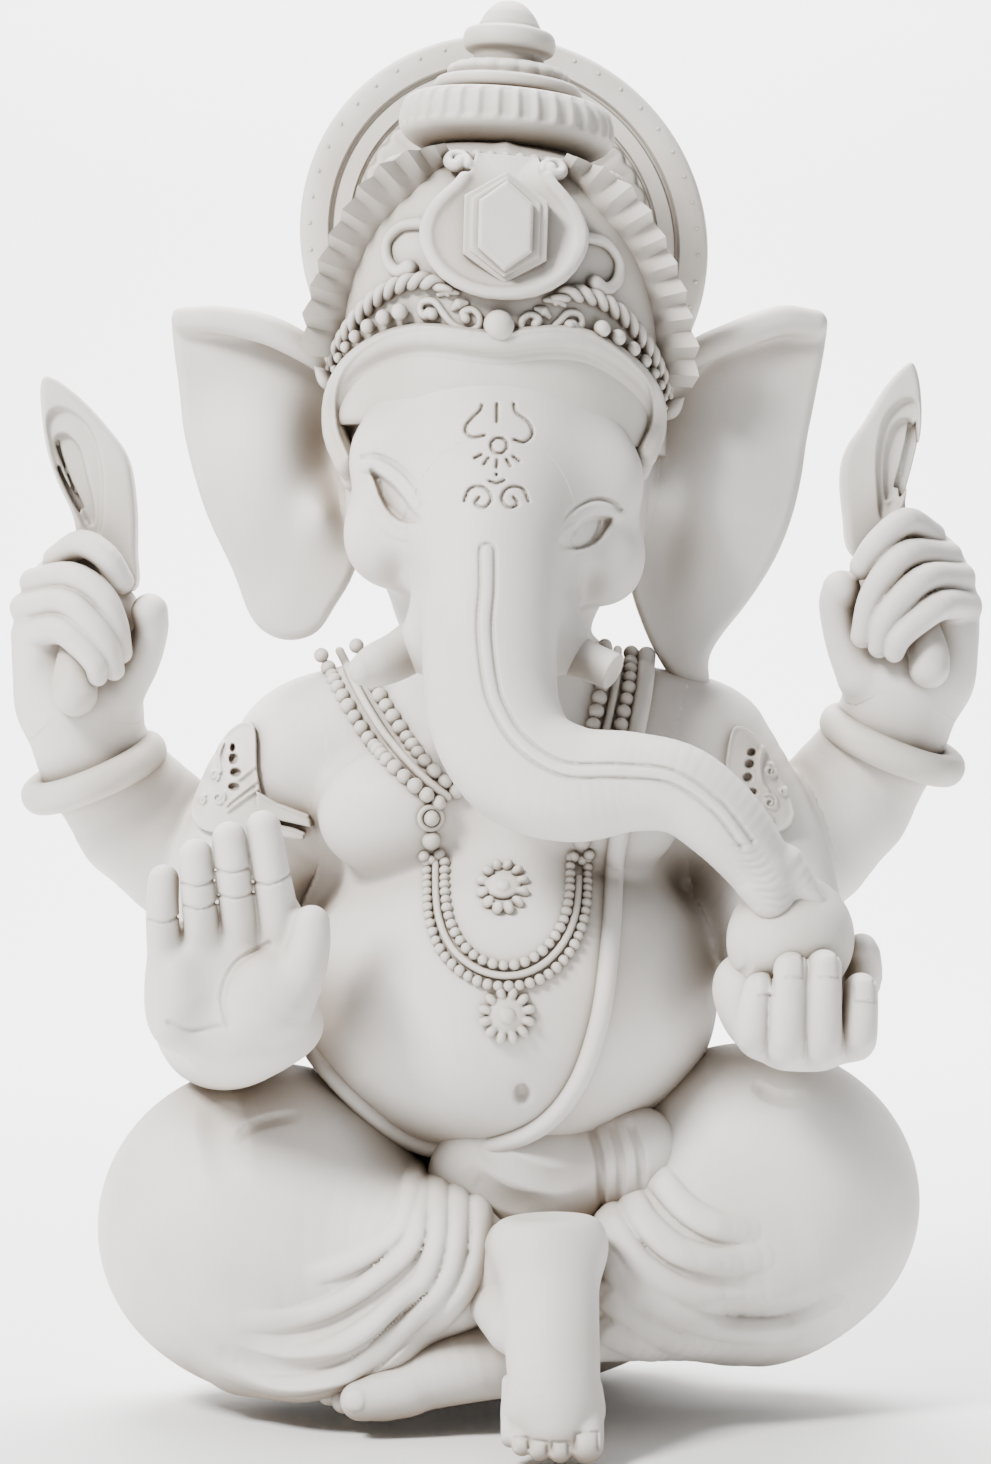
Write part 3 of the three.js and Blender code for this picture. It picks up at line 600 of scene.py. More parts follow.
def ringed(rings: Array, closed: bool = False) -> Shell:
    """Rings of points joined into a skin.

    Args:
        rings: the rings, each with the same number of points.
        closed: whether the last ring joins the first; if not, each end is closed by one face.

    Returns:
        The closed skin.
    """
    count, sides = rings.shape[:2]
    index = np.arange(count * sides).reshape(count, sides)
    upper = np.roll(index, -1, axis=0) if closed else index[1:]
    lower = index if closed else index[:-1]
    quads = np.stack([lower, np.roll(lower, -1, 1), np.roll(upper, -1, 1), upper], -1).reshape(-1, 4)
    faces = [quads]
    if not closed:
        faces += [index[:1, ::-1], index[-1:]]
    return Shell(rings.reshape(-1, 3), faces)


def beads(centres: Array, radii: Array, squash: Row = (1, 1, 1)) -> Shell:
    """Round beads.

    Args:
        centres: the middle of each.
        radii: the radius of each.
        squash: scale along X, Y and Z.

    Returns:
        One skin that holds them all.
    """
    rings, sides = 9, 14
    polar = np.pi * (np.arange(rings) + 0.5) / rings
    angles = 2 * np.pi * np.arange(sides) / sides
    ring = np.stack([np.cos(angles), np.sin(angles)], -1)
    ball = np.array([np.column_stack([np.sin(p) * ring, np.full(sides, -np.cos(p))]) for p in polar])
    unit = ringed(ball)
    squashed = unit.points * np.array(squash, float)
    return together(
        Shell(squashed * radius + centre, unit.faces) for centre, radius in zip(centres, radii)
    )


def turned_about(profile: Array, sides: int, relief: Callable[[Array, Array], Array] | None = None) -> Shell:
    """A piece turned about its own Z axis.

    Args:
        profile: rows of radius and height, from bottom to top.
        sides: points round it.
        relief: extra radius for an angle and a share of the way up the profile.

    Returns:
        The closed skin.
    """
    angles = 2 * np.pi * np.arange(sides) / sides
    shares = np.arange(len(profile)) / (len(profile) - 1)
    rings = []
    for (radius, height), share in zip(profile, shares):
        extra = relief(angles, np.full(sides, share)) if relief else 0.0
        wide = np.maximum(radius + extra, 0.02)
        rings.append(np.column_stack([wide * np.cos(angles), wide * np.sin(angles), np.full(sides, height)]))
    return ringed(np.array(rings))


# ---------------------------------------------------------------- frames


HEAD_AT = np.array([0.2, 0.0, 195.0])
HEAD_ROLL = math.radians(4.8)  # the left side of the face is the lower one
HEAD_LEAN = math.radians(1.7)
HEAD_AXES = np.array(
    [
        [math.cos(HEAD_ROLL), 0, math.sin(HEAD_LEAN)],
        [0, 1, 0],
        [-math.sin(HEAD_ROLL), 0, math.cos(HEAD_LEAN)],
    ]
)
HEAD_AXES_BACK = np.linalg.inv(HEAD_AXES)
CROWN_AXIS = -6.0  # y of the crown's axis in the figure's frame


def from_head(points: Array) -> Array:
    """Points of the head's frame in the figure's frame."""
    return HEAD_AT + points @ HEAD_AXES.T


def to_head(points: Array) -> Array:
    """Points of the figure's frame in the head's frame."""
    return (points - HEAD_AT) @ HEAD_AXES_BACK.T


def on_head(form: Form) -> Form:
    """A form made in the head's frame, in the figure's frame."""
    sides = np.array([[x, y, z] for x in (0, 1) for y in (0, 1) for z in (0, 1)])
    corners = from_head(form.low + sides * (form.high - form.low))
    return Form(lambda points: form.distance(to_head(points)), corners.min(axis=0), corners.max(axis=0))


def spine_setback() -> float:
    """How far the spine's plane is behind the row frame's middle, in millimetres."""
    low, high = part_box("crown_finial")
    return (low.y + high.y) / 2 / MM - CROWN_AXIS


SETBACK = spine_setback()


def in_row(points: Array) -> Array:
    """Points of the figure's frame in the row frame, in metres."""
    return (points + np.array([0, SETBACK, 0])) * MM


# ---------------------------------------------------------------- finishes


class Slot(Enum):
    """The material slots, each of which picks a finish."""

    SKIN = "skin"
    CLOTH = "cloth"
    ORNAMENT = "ornament"


@dataclass(frozen=True)
class Plaster:
    """Cast plaster, rubbed down by hand, with painted shade: a dark warm colour mixed into its hollows."""

    name: str
    light: tuple[float, float, float]
    warm: tuple[float, float, float]
    # hollow: painted shade, the dark warm colour that ambient occlusion mixes into creases and recesses
    hollow: tuple[float, float, float]
    roughness: float
    stipple: float

    @cached_property
    def material(self) -> bpy.types.Material:
        """The finish as a material, made the first time that it is asked for."""
        made = bpy.data.materials.new(self.name)
        made.use_nodes = True
        nodes, links = made.node_tree.nodes, made.node_tree.links
        shader = nodes["Principled BSDF"]
        shader.inputs["Specular IOR Level"].default_value = 0.32
        place = nodes.new("ShaderNodeTexCoord").outputs["Object"]

        def noise(scale: float, detail: float) -> bpy.types.NodeSocket:
            """A soft noise; scale is in waves for each metre."""
            node = nodes.new("ShaderNodeTexNoise")
            node.inputs["Scale"].default_value = scale
            node.inputs["Detail"].default_value = detail
            links.new(place, node.inputs["Vector"])
            return node.outputs["Fac"]

        def ramp(source: bpy.types.NodeSocket, *limits: float) -> bpy.types.NodeSocket:
            """The source moved from its range to another: from low, from high, to low, to high."""
            node = nodes.new("ShaderNodeMapRange")
            for name, limit in zip(("From Min", "From Max", "To Min", "To Max"), limits):
                node.inputs[name].default_value = limit
            links.new(source, node.inputs["Value"])
            return node.outputs["Result"]

        def mixed(share: bpy.types.NodeSocket, first: object, second: object) -> bpy.types.NodeSocket:
            """Two colours mixed; each is a colour or another node's output."""
            node = nodes.new("ShaderNodeMix")
            node.data_type = "RGBA"
            links.new(share, node.inputs["Factor"])
            for socket, colour in zip((node.inputs["A"], node.inputs["B"]), (first, second)):
                if isinstance(colour, tuple):
                    socket.default_value = (*colour, 1)
                else:
                    links.new(colour, socket)
            return node.outputs["Result"]

        patches = ramp(noise(38, 3), 0.38, 0.66, 0, 1)
        tone = mixed(patches, self.light, self.warm)
        # Painted shade: where the ambient occlusion node finds the surface closed in, the colour turns to the
        # dark warm hollow colour
        shade = nodes.new("ShaderNodeAmbientOcclusion")
        shade.samples = 8
        shade.inputs["Distance"].default_value = 16 * MM
        painted_shade_share = ramp(shade.outputs["AO"], 0.2, 0.94, 1, 0)
        tone = mixed(painted_shade_share, tone, self.hollow)
        links.new(tone, shader.inputs["Base Color"])
        rough = ramp(noise(210, 4), 0.3, 0.7, self.roughness - 0.09, self.roughness + 0.07)
        links.new(rough, shader.inputs["Roughness"])

        pits = nodes.new("ShaderNodeTexVoronoi")
        pits.inputs["Scale"].default_value = 300
        links.new(place, pits.inputs["Vector"])
        pores = ramp(pits.outputs["Distance"], 0.02, 0.16, -0.6, 0)
        height = nodes.new("ShaderNodeMath")
        links.new(noise(1500, 3), height.inputs[0])
        links.new(pores, height.inputs[1])
        swell = nodes.new("ShaderNodeMath")
        links.new(height.outputs[0], swell.inputs[0])
        links.new(ramp(noise(320, 3), 0, 1, 0, 1.6), swell.inputs[1])
        bump = nodes.new("ShaderNodeBump")
        bump.inputs["Strength"].default_value = self.stipple
        bump.inputs["Distance"].default_value = 0.12 * MM
        links.new(swell.outputs[0], bump.inputs["Height"])
        links.new(bump.outputs["Normal"], shader.inputs["Normal"])
        return made


# The third colour of each finish is painted shade for creases and recesses; the ornament one is the darkest
FINISHES = {
    Slot.SKIN: Plaster("plaster_skin", (0.72, 0.70, 0.675), (0.66, 0.62, 0.58), (0.25, 0.2, 0.15), 0.62,
                       0.30),
    Slot.CLOTH: Plaster("plaster_cloth", (0.72, 0.705, 0.685), (0.66, 0.62, 0.58), (0.25, 0.2, 0.15), 0.66,
                        0.22),
    Slot.ORNAMENT: Plaster("plaster_ornament", (0.67, 0.64, 0.6), (0.58, 0.54, 0.49), (0.17, 0.135, 0.1),
                           0.60, 0.34),
}


class Workshop:
    """Makes Blender pieces from skins, dresses them and registers them with the frame."""

    def __init__(self) -> None:
        """Nothing is made yet."""
        self.sculptor = Sculptor(1.0)
        self.made: list[bpy.types.Object] = []

    def sculpt(self, name: str, form: Form, grain: float, slot: Slot, sharp: float = 0) -> None:
        """Adds a piece made from a form.

        Args:
            name: the piece and the CAD node that it stands for.
            form: its shape in the figure's frame.
            grain: width of its quads.
            slot: the slot whose finish it takes.
            sharp: edges steeper than this many degrees stay crisp; 0 smooths them all.
        """
        self.add(name, self.sculptor.skin(form, grain), slot, sharp)

    def add(self, name: str, shell: Shell, slot: Slot, sharp: float = 0) -> None:
        """Adds a piece made from a skin; the arguments are those of sculpt."""
        mesh = bpy.data.meshes.new(name)
        points = in_row(shell.points).astype(np.float32)
        corners = np.concatenate([group.reshape(-1) for group in shell.faces]).astype(np.int32)
        sizes = np.concatenate([np.full(len(group), group.shape[1]) for group in shell.faces])
        starts = np.concatenate([[0], np.cumsum(sizes)[:-1]]).astype(np.int32)
        mesh.vertices.add(len(points))
        mesh.vertices.foreach_set("co", points.reshape(-1))
        mesh.loops.add(len(corners))
        mesh.loops.foreach_set("vertex_index", corners)
        mesh.polygons.add(len(sizes))
        mesh.polygons.foreach_set("loop_start", starts)
        mesh.polygons.foreach_set("use_smooth", np.ones(len(sizes), bool))
        mesh.update(calc_edges=True)
        mesh.validate()
        if sharp:
            mesh.set_sharp_from_angle(angle=math.radians(sharp))
        mesh.materials.append(FINISHES[slot].material)
        piece = bpy.data.objects.new(f"{name}_plaster", mesh)
        bpy.context.scene.collection.objects.link(piece)
        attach(piece, "root")
        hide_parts(name)
        self.made.append(piece)
        LOG.info("%s: %d points, %d faces", piece.name, len(points), len(sizes))


# ---------------------------------------------------------------- flesh


OVERLAP = 0.8  # how far one section runs on over the next at a seam
SECTION_STEP = 0.04  # each later section lies this much deeper


def front_plane(points: Array) -> Array:
    """The x and z of points."""
    return points[:, [0, 2]]


@dataclass(frozen=True)
class Patch:
    """An outlined area raised or sunk on a surface, seen from the front."""

    outline: Array
    height: float
    edge: float

    def lift(self, flat: Array) -> Array:
        """How far the surface moves out at each x and z."""
        out = np.zeros(len(flat))
        close = reached(flat, self.outline, self.edge)
        if close.any():
            away = from_outline(flat[close], self.outline)
            out[close] = self.height * (1 - smooth_step(away, -self.edge, self.edge))
        return out


@dataclass(frozen=True)
class Folds:
    """Ridges of cloth or skin; each line is rows of x, z and strength, which fades the ridge out."""

    lines: tuple[Array, ...]
    width: float
    height: float
    crest: float = 0.5  # power of the section: low is a full round, high a thin crest

    def lift(self, flat: Array) -> Array:
        """How far the surface moves out at each x and z."""
        out = np.zeros(len(flat))
        for line in self.lines:
            close = reached(flat, line[:, :2], self.width)
            if close.any():
                out[close] = np.maximum(out[close], self._one(flat[close], line))
        return self.height * out

    def _one(self, flat: Array, line: Array) -> Array:
        """The share of the height that one line gives."""
        best = np.zeros(len(flat))
        for start, end in zip(line[:-1], line[1:]):
            span = end[:2] - start[:2]
            offset = flat - start[:2]
            share = np.clip(offset @ span / max(span @ span, 1e-9), 0, 1)
            away = offset - share[:, None] * span
            inside = np.maximum(1 - np.einsum("ij,ij->i", away, away) / self.width**2, 0)
            strength = start[2] + share * (end[2] - start[2])
            best = np.maximum(best, strength * inside**self.crest)
        return best


def fading(points: Sequence[Row], start: float = 1.0, end: float = 0.0) -> Array:
    """A smooth line of x, z and strength, full in the middle and weaker at its ends."""
    line = spline(points, 5)
    share = np.linspace(0, 1, len(line))
    strength = np.minimum(start + share * 5, 1) * np.minimum(end + (1 - share) * 3, 1)
    return np.column_stack([line, strength])


def plain(points: Sequence[Row], per_span: int = 5, closed: bool = False) -> Array:
    """A smooth line of x and z."""
    line = spline(points, per_span, closed)
    return np.vstack([line, line[:1]]) if closed else line


@dataclass(frozen=True)
class Seam:
    """Where one section of the body meets another; the first one runs on over the second."""

    first: str
    second: str
    soft: float


class Flesh:
    """Sections of the body, blended where they meet and parted along a seam that doesn't show."""

    def __init__(self, sections: dict[str, Form], ranks: dict[str, int], seams: Sequence[Seam]) -> None:
        """Keeps the bare sections.

        Args:
            sections: the form of each section.
            ranks: how deep each section lies; the first of two that meet has the lower rank.
            seams: the pairs that meet.
        """
        self.sections = sections
        self.ranks = ranks
        self.seams = seams

    def section(self, name: str) -> Form:
        """One section with its fillets, cut where the next one takes over."""
        own = self.sections[name]
        inset = SECTION_STEP * self.ranks[name]
        meeting = []
        for seam in self.seams:
            if name in (seam.first, seam.second):
                other = seam.second if seam.first == name else seam.first
                meeting.append((self.sections[other], seam.soft))

        def distance(points: Array) -> Array:
            near = own.distance(points)
            skin = near.copy()
            cut = np.full(len(points), -FAR)
            for other, soft in meeting:
                close = from_box(points, other.low, other.high) < soft + 2
                if close.any():
                    away = other.distance(points[close])
                    skin[close] = soft_min(skin[close], away, soft)
                    cut[close] = np.maximum(cut[close], (near[close] - away) / 2 - OVERLAP)
            return np.maximum(skin + inset, cut)

        spread = max(soft for _, soft in meeting) / 4
        return Form(distance, own.low - spread, own.high + spread)


@dataclass(frozen=True)
class Torso:
    """The belly, chest, back and shoulders."""

    belly: tuple[Row, Row] = ((3, -8, 86), (44, 43, 36))
    chest: tuple[Row, Row] = ((2, -2, 126), (40, 30, 25))
    back: tuple[Row, Row] = ((0, 14, 98), (40, 28, 52))
    yoke: tuple[Row, Row] = ((0, 0, 143), (46, 22, 18))
    neck: tuple[Row, Row] = ((0, -4, 152), (24, 24, 20))
    breast: tuple[Row, Row] = ((-20, -21, 125.5), (17, 15, 13.5))
    navel: Row = (5.3, -46.6, 68.6)

    @cached_property
    def form(self) -> Form:
        """The torso without arms or head."""
        body = whole([ellipsoid(*part) for part in (self.belly, self.back, self.chest, self.yoke)], 9)
        body = body.joined(ellipsoid(*self.neck), 6)
        (x, y, z), radii = self.breast
        body = body.joined(ellipsoid((x, y, z), radii, (0, -12, 0)), 3)
        body = body.joined(ellipsoid((1.5 - x, y, z), radii, (0, 12, 0)), 3)
        body = body.carved(ellipsoid(self.navel, (1.7, 3.6, 2.6)), 1.0)
        return body


class Arms:
    """The four arms, without their hands."""

    right_elbow: Row = (-61, 1, 84, 13)
    left_elbow: Row = (58.5, -4, 105, 14)

    @cached_property
    def front_right(self) -> Form:
        """The front arm behind the raised palm."""
        upper = limb([(-40, 0, 135, 17), (-55, 0, 113, 13.5), self.right_elbow])
        lower = limb([self.right_elbow, (-58, -20, 80, 12.5), (-52, -42, 82, 12), (-48.5, -48, 86, 12)])
        return upper.joined(lower, 3)

    @cached_property
    def front_left(self) -> Form:
        """The front arm that holds the sweet."""
        upper = limb([(43, 0, 136, 17), (55, -1, 119, 14.5), self.left_elbow])
        lower = limb([self.left_elbow, (60, -20, 98, 12.5), (58, -40, 89, 10.5), (57, -50, 87, 10.5)])
        return upper.joined(lower, 4)

    @cached_property
    def rear_right(self) -> Form:
        """The rear arm on the right."""
        upper = limb([(-34, 13, 124, 16), (-61, 14, 113, 15.5), (-77, 11, 123, 14.2)])
        return upper.joined(limb([(-77, 11, 123, 14.2), (-86, 6, 136, 12.6), (-89, 3, 146, 12.3)]), 2)

    @cached_property
    def rear_left(self) -> Form:
        """The rear arm on the left."""
        upper = limb([(34, 13, 124, 16), (61, 14, 114, 15.5), (76, 11, 127, 14.2)])
        return upper.joined(limb([(76, 11, 127, 14.2), (85, 6, 142, 12.6), (88, 3, 152, 12.3)]), 2)


def finger(joints: Sequence[Row]) -> Form:
    """A finger through rows of x, y, z and radius."""
    return limb(joints, 4)


class BlessingHand:
    """The raised right hand, its open palm towards -Y."""

    fingers: tuple[tuple[Row, ...], ...] = (
        ((-64.5, -52, 91, 4.2), (-65.5, -57, 99, 3.5), (-65.6, -60, 107, 3.3), (-65.3, -60.5, 112.6, 3.1)),
        ((-57.5, -52, 92, 4.2), (-57.9, -58, 102, 3.7), (-58.4, -62, 111, 3.5), (-58.8, -62.5, 117.4, 3.4)),
        ((-50.2, -52, 92, 4.2), (-50.4, -58, 103, 3.8), (-51.4, -62, 113, 3.6), (-52.2, -62.5, 120.7, 3.5)),
        ((-41.8, -52, 92, 5.2), (-42.8, -57, 103, 4.5), (-44.2, -61, 114, 3.8), (-45.6, -62, 122.9, 3.5))
    )
    creases: tuple[tuple[Row, Row], ...] = (
        ((-68, 104.8), (-62.6, 105.4)), ((-61.3, 112), (-55.4, 112.6)), ((-61.3, 107.6), (-54.8, 108.3)),
        ((-54.8, 114.7), (-48.6, 115.1)), ((-54.2, 109.7), (-47.6, 110.3)), ((-47.8, 112.3), (-40.6, 113.7))
    )

    @cached_property
    def form(self) -> Form:
        """The hand without its arm."""
        palm = ellipsoid((-54.5, -53, 93), (14, 7.5, 13.5))
        palm = palm.joined(ellipsoid((-62.4, -55, 89), (7, 8, 10.5), (0, 10, 0)), 4)
        palm = palm.joined(ellipsoid((-50, -50, 83), (15.5, 11.5, 9)), 4)
        web = ellipsoid((-42.5, -53, 101), (5.5, 5, 12), (0, -14, 0))
        palm = palm.joined(web, 4)
        fingers = whole([finger(joints) for joints in self.fingers], 0.5)
        palm = palm.joined(fingers, 2.2)
        mound = ellipsoid((-45, -58.5, 90), (8.4, 7, 9.4), (0, 38, 0))
        thumb = finger(((-43, -58, 88, 7), (-38.5, -60, 94, 5), (-36.6, -61, 100, 4.2), (-36.2, -61, 104,
                                                                                         3.7)))
        palm = palm.joined(mound, 2.5).joined(thumb, 2)
        palm = palm.carved(ellipsoid((-55.8, -67.5, 96), (6.5, 6, 5), (0, -20, 0)), 4)
        lines = tuple(plain(((x0, z0), ((x0 + x1) / 2, z0 - 0.5), (x1, z1))) for (x0, z0),
                      (x1, z1) in self.creases)
        heel = plain(((-64, 84.6), (-60, 83.2), (-54, 83.6)))
        life = plain(((-52.5, 84), (-53.6, 90), (-51, 96), (-44.6, 100)))
        grooves = [Strokes(lines, 0.55, -0.5), Strokes((heel, life), 1.1, -0.6)]
        return palm.lifted(on_front(grooves, front_plane, -50))


class SweetHand:
    """The left hand that holds the sweet, its fingers up in front."""

    fingers: tuple[tuple[Row, ...], ...] = (
        ((51.6, -62, 82, 4.2), (50.2, -70.5, 83, 3.6), (50.4, -71.5, 88, 3.4), (51.2, -71, 91.9, 3.2)),
        ((56.6, -62, 80, 4.2), (56.4, -72, 81, 3.9), (56.6, -73.5, 90, 3.7), (57.2, -72.5, 95.8, 3.5)),
        ((63.4, -62, 80, 4.2), (63.2, -72, 81, 3.9), (63.2, -73.5, 90, 3.7), (63.5, -72.5, 96.2, 3.5)),
        ((69.6, -60, 81, 4.2), (70.2, -70, 82, 3.8), (70.6, -71, 87, 3.6), (70.9, -70, 91.6, 3.4))
    )
    nails: tuple[Row, ...] = ((52.2, 92.8, 1.3), (57.5, 96.3, 1.7), (64.1, 96.4, 1.7), (71.3, 91.5, 1.8))

    @cached_property
    def form(self) -> Form:
        """The hand without its arm."""
        palm = ellipsoid((60.5, -62, 82.5), (12.5, 11.5, 7.5))
        palm = palm.joined(ellipsoid((51, -56, 89), (7.5, 11, 9.5), (0, -30, 0)), 5)
        palm = palm.joined(ellipsoid((60, -51, 86), (13, 10, 9)), 5)
        fingers = whole([finger(joints) for joints in self.fingers], 0.4)
        thumb = finger(((68, -52, 88, 5), (72.6, -54, 92, 4), (72.9, -57, 97, 3.4), (72.3, -58, 98.8, 3.2)))
        hand = palm.joined(fingers, 1.4).joined(thumb, 2)
        plates, rims = [], []
        for x, z, half in self.nails:
            high = 1.9
            corners = [(x - half, z - high), (x + half, z - high), (x + half, z + high), (x - half, z + high)]
            outline = plain([(x - half, z - high), (x, z - high - 0.25), (x + half, z - high),
                             (x + half + 0.1, z),
                             (x + half, z + high), (x, z + high + 0.5), (x - half, z + high),
                             (x - half - 0.1, z)],
                            3, True)
            plates.append(Patch(outline, 0.25, 0.25))
            rims.append(plain(corners[:2] + corners[2:3], 1))
        grooves = Strokes(tuple(rims), 0.45, -0.45)
        return hand.lifted(on_front([*plates, grooves], front_plane, -64), 0.3)


@dataclass(frozen=True)
class Fist:
    """A rear hand closed round the stem of a blade. All places are x, y, z and radius."""

    fingers: tuple[tuple[Row, ...], ...]
    thumb: tuple[Row, ...]
    palm: tuple[tuple[Row, Row, Row], ...]

    @cached_property
    def form(self) -> Form:
        """The fist without its arm."""
        bulk = whole([ellipsoid(*part) for part in self.palm], 5)
        fingers = whole([finger(joints) for joints in self.fingers], 0.3)
        return bulk.joined(fingers, 1.2).joined(finger(self.thumb), 1.2)


RIGHT_FIST = Fist(
    (((-93.5, -2, 178.5, 3.2), (-87.5, -9, 181.5, 3.1), (-82.2, -11, 178.6, 3), (-79.4, -9, 173.6, 3)),
    ((-98.4, -2, 173.6, 3.3), (-89.5, -11, 174.6, 3.1), (-83, -13, 170.6, 3), (-80.2, -12, 164.6, 2.9),
    (-79.3, -10, 158.6, 2.7)), ((-100.4, -2, 168.2, 3.4), (-90.8, -12, 169.2, 3.1), (-85.2, -14.5, 164.8, 3),
    (-81.6, -14, 159.6, 2.8), (-80.4, -12, 154.8, 2.4)), ((-99.8, -2, 162.4, 3.6), (-91.8, -12, 163.4, 3.3),
    (-87, -14.5, 160, 3.1), (-84, -15, 156.2, 2.7), (-83.6, -14, 153.4, 2.2))),
    ((-80, -2, 150, 5), (-75.6, -3, 157, 4.2), (-73.3, -5, 163.5, 3.8), (-73.4, -6.5, 167.2, 4)),
    (((-92, 2, 166), (10.5, 9, 14.5), (0, 0, 0)), ((-97.5, 1, 156), (6, 8, 13), (0, 0, 0)), ((-84, 2, 160),
    (8.5, 8, 14), (0, 12, 0)), ((-89, 3, 148), (12.3, 11, 10), (0, 0, 0)))
)
LEFT_FIST = Fist(
    (((93, -2, 183.5, 3.2), (86.8, -9, 186.2, 3.1), (80.8, -11, 181.6, 3), (77.8, -9, 176.8, 3)),
    ((96.5, -2, 179.2, 3.3), (87.4, -11, 179.4, 3.1), (82.4, -13, 175.4, 3), (79, -12, 169.4, 2.9),
    (77.6, -10, 162, 2.7)), ((99.2, -2, 174.6, 3.4), (90.8, -12, 174.2, 3.1), (85.2, -14.5, 169.8, 3),
    (81.6, -14, 164.6, 2.8), (80.8, -12, 159.6, 2.4)), ((100.4, -2, 168.6, 3.6), (93.8, -12, 168.4, 3.3),
    (88.4, -14.5, 165, 3.1), (84.8, -15, 161.4, 2.7), (83.8, -14, 158.4, 2.2))),
    ((77.6, -2, 154, 5), (74.4, -3, 161, 4.2), (72.6, -5, 168.5, 3.9), (73.4, -6.5, 171.9, 4.2)),
    (((92, 2, 171), (10.5, 9, 14.5), (0, 0, 0)), ((98, 1, 161), (5.5, 8, 13), (0, 0, 0)), ((84, 2, 165),
    (8.5, 8, 14), (0, -12, 0)), ((88.5, 3, 153), (12.3, 11, 10), (0, 0, 0)))
)


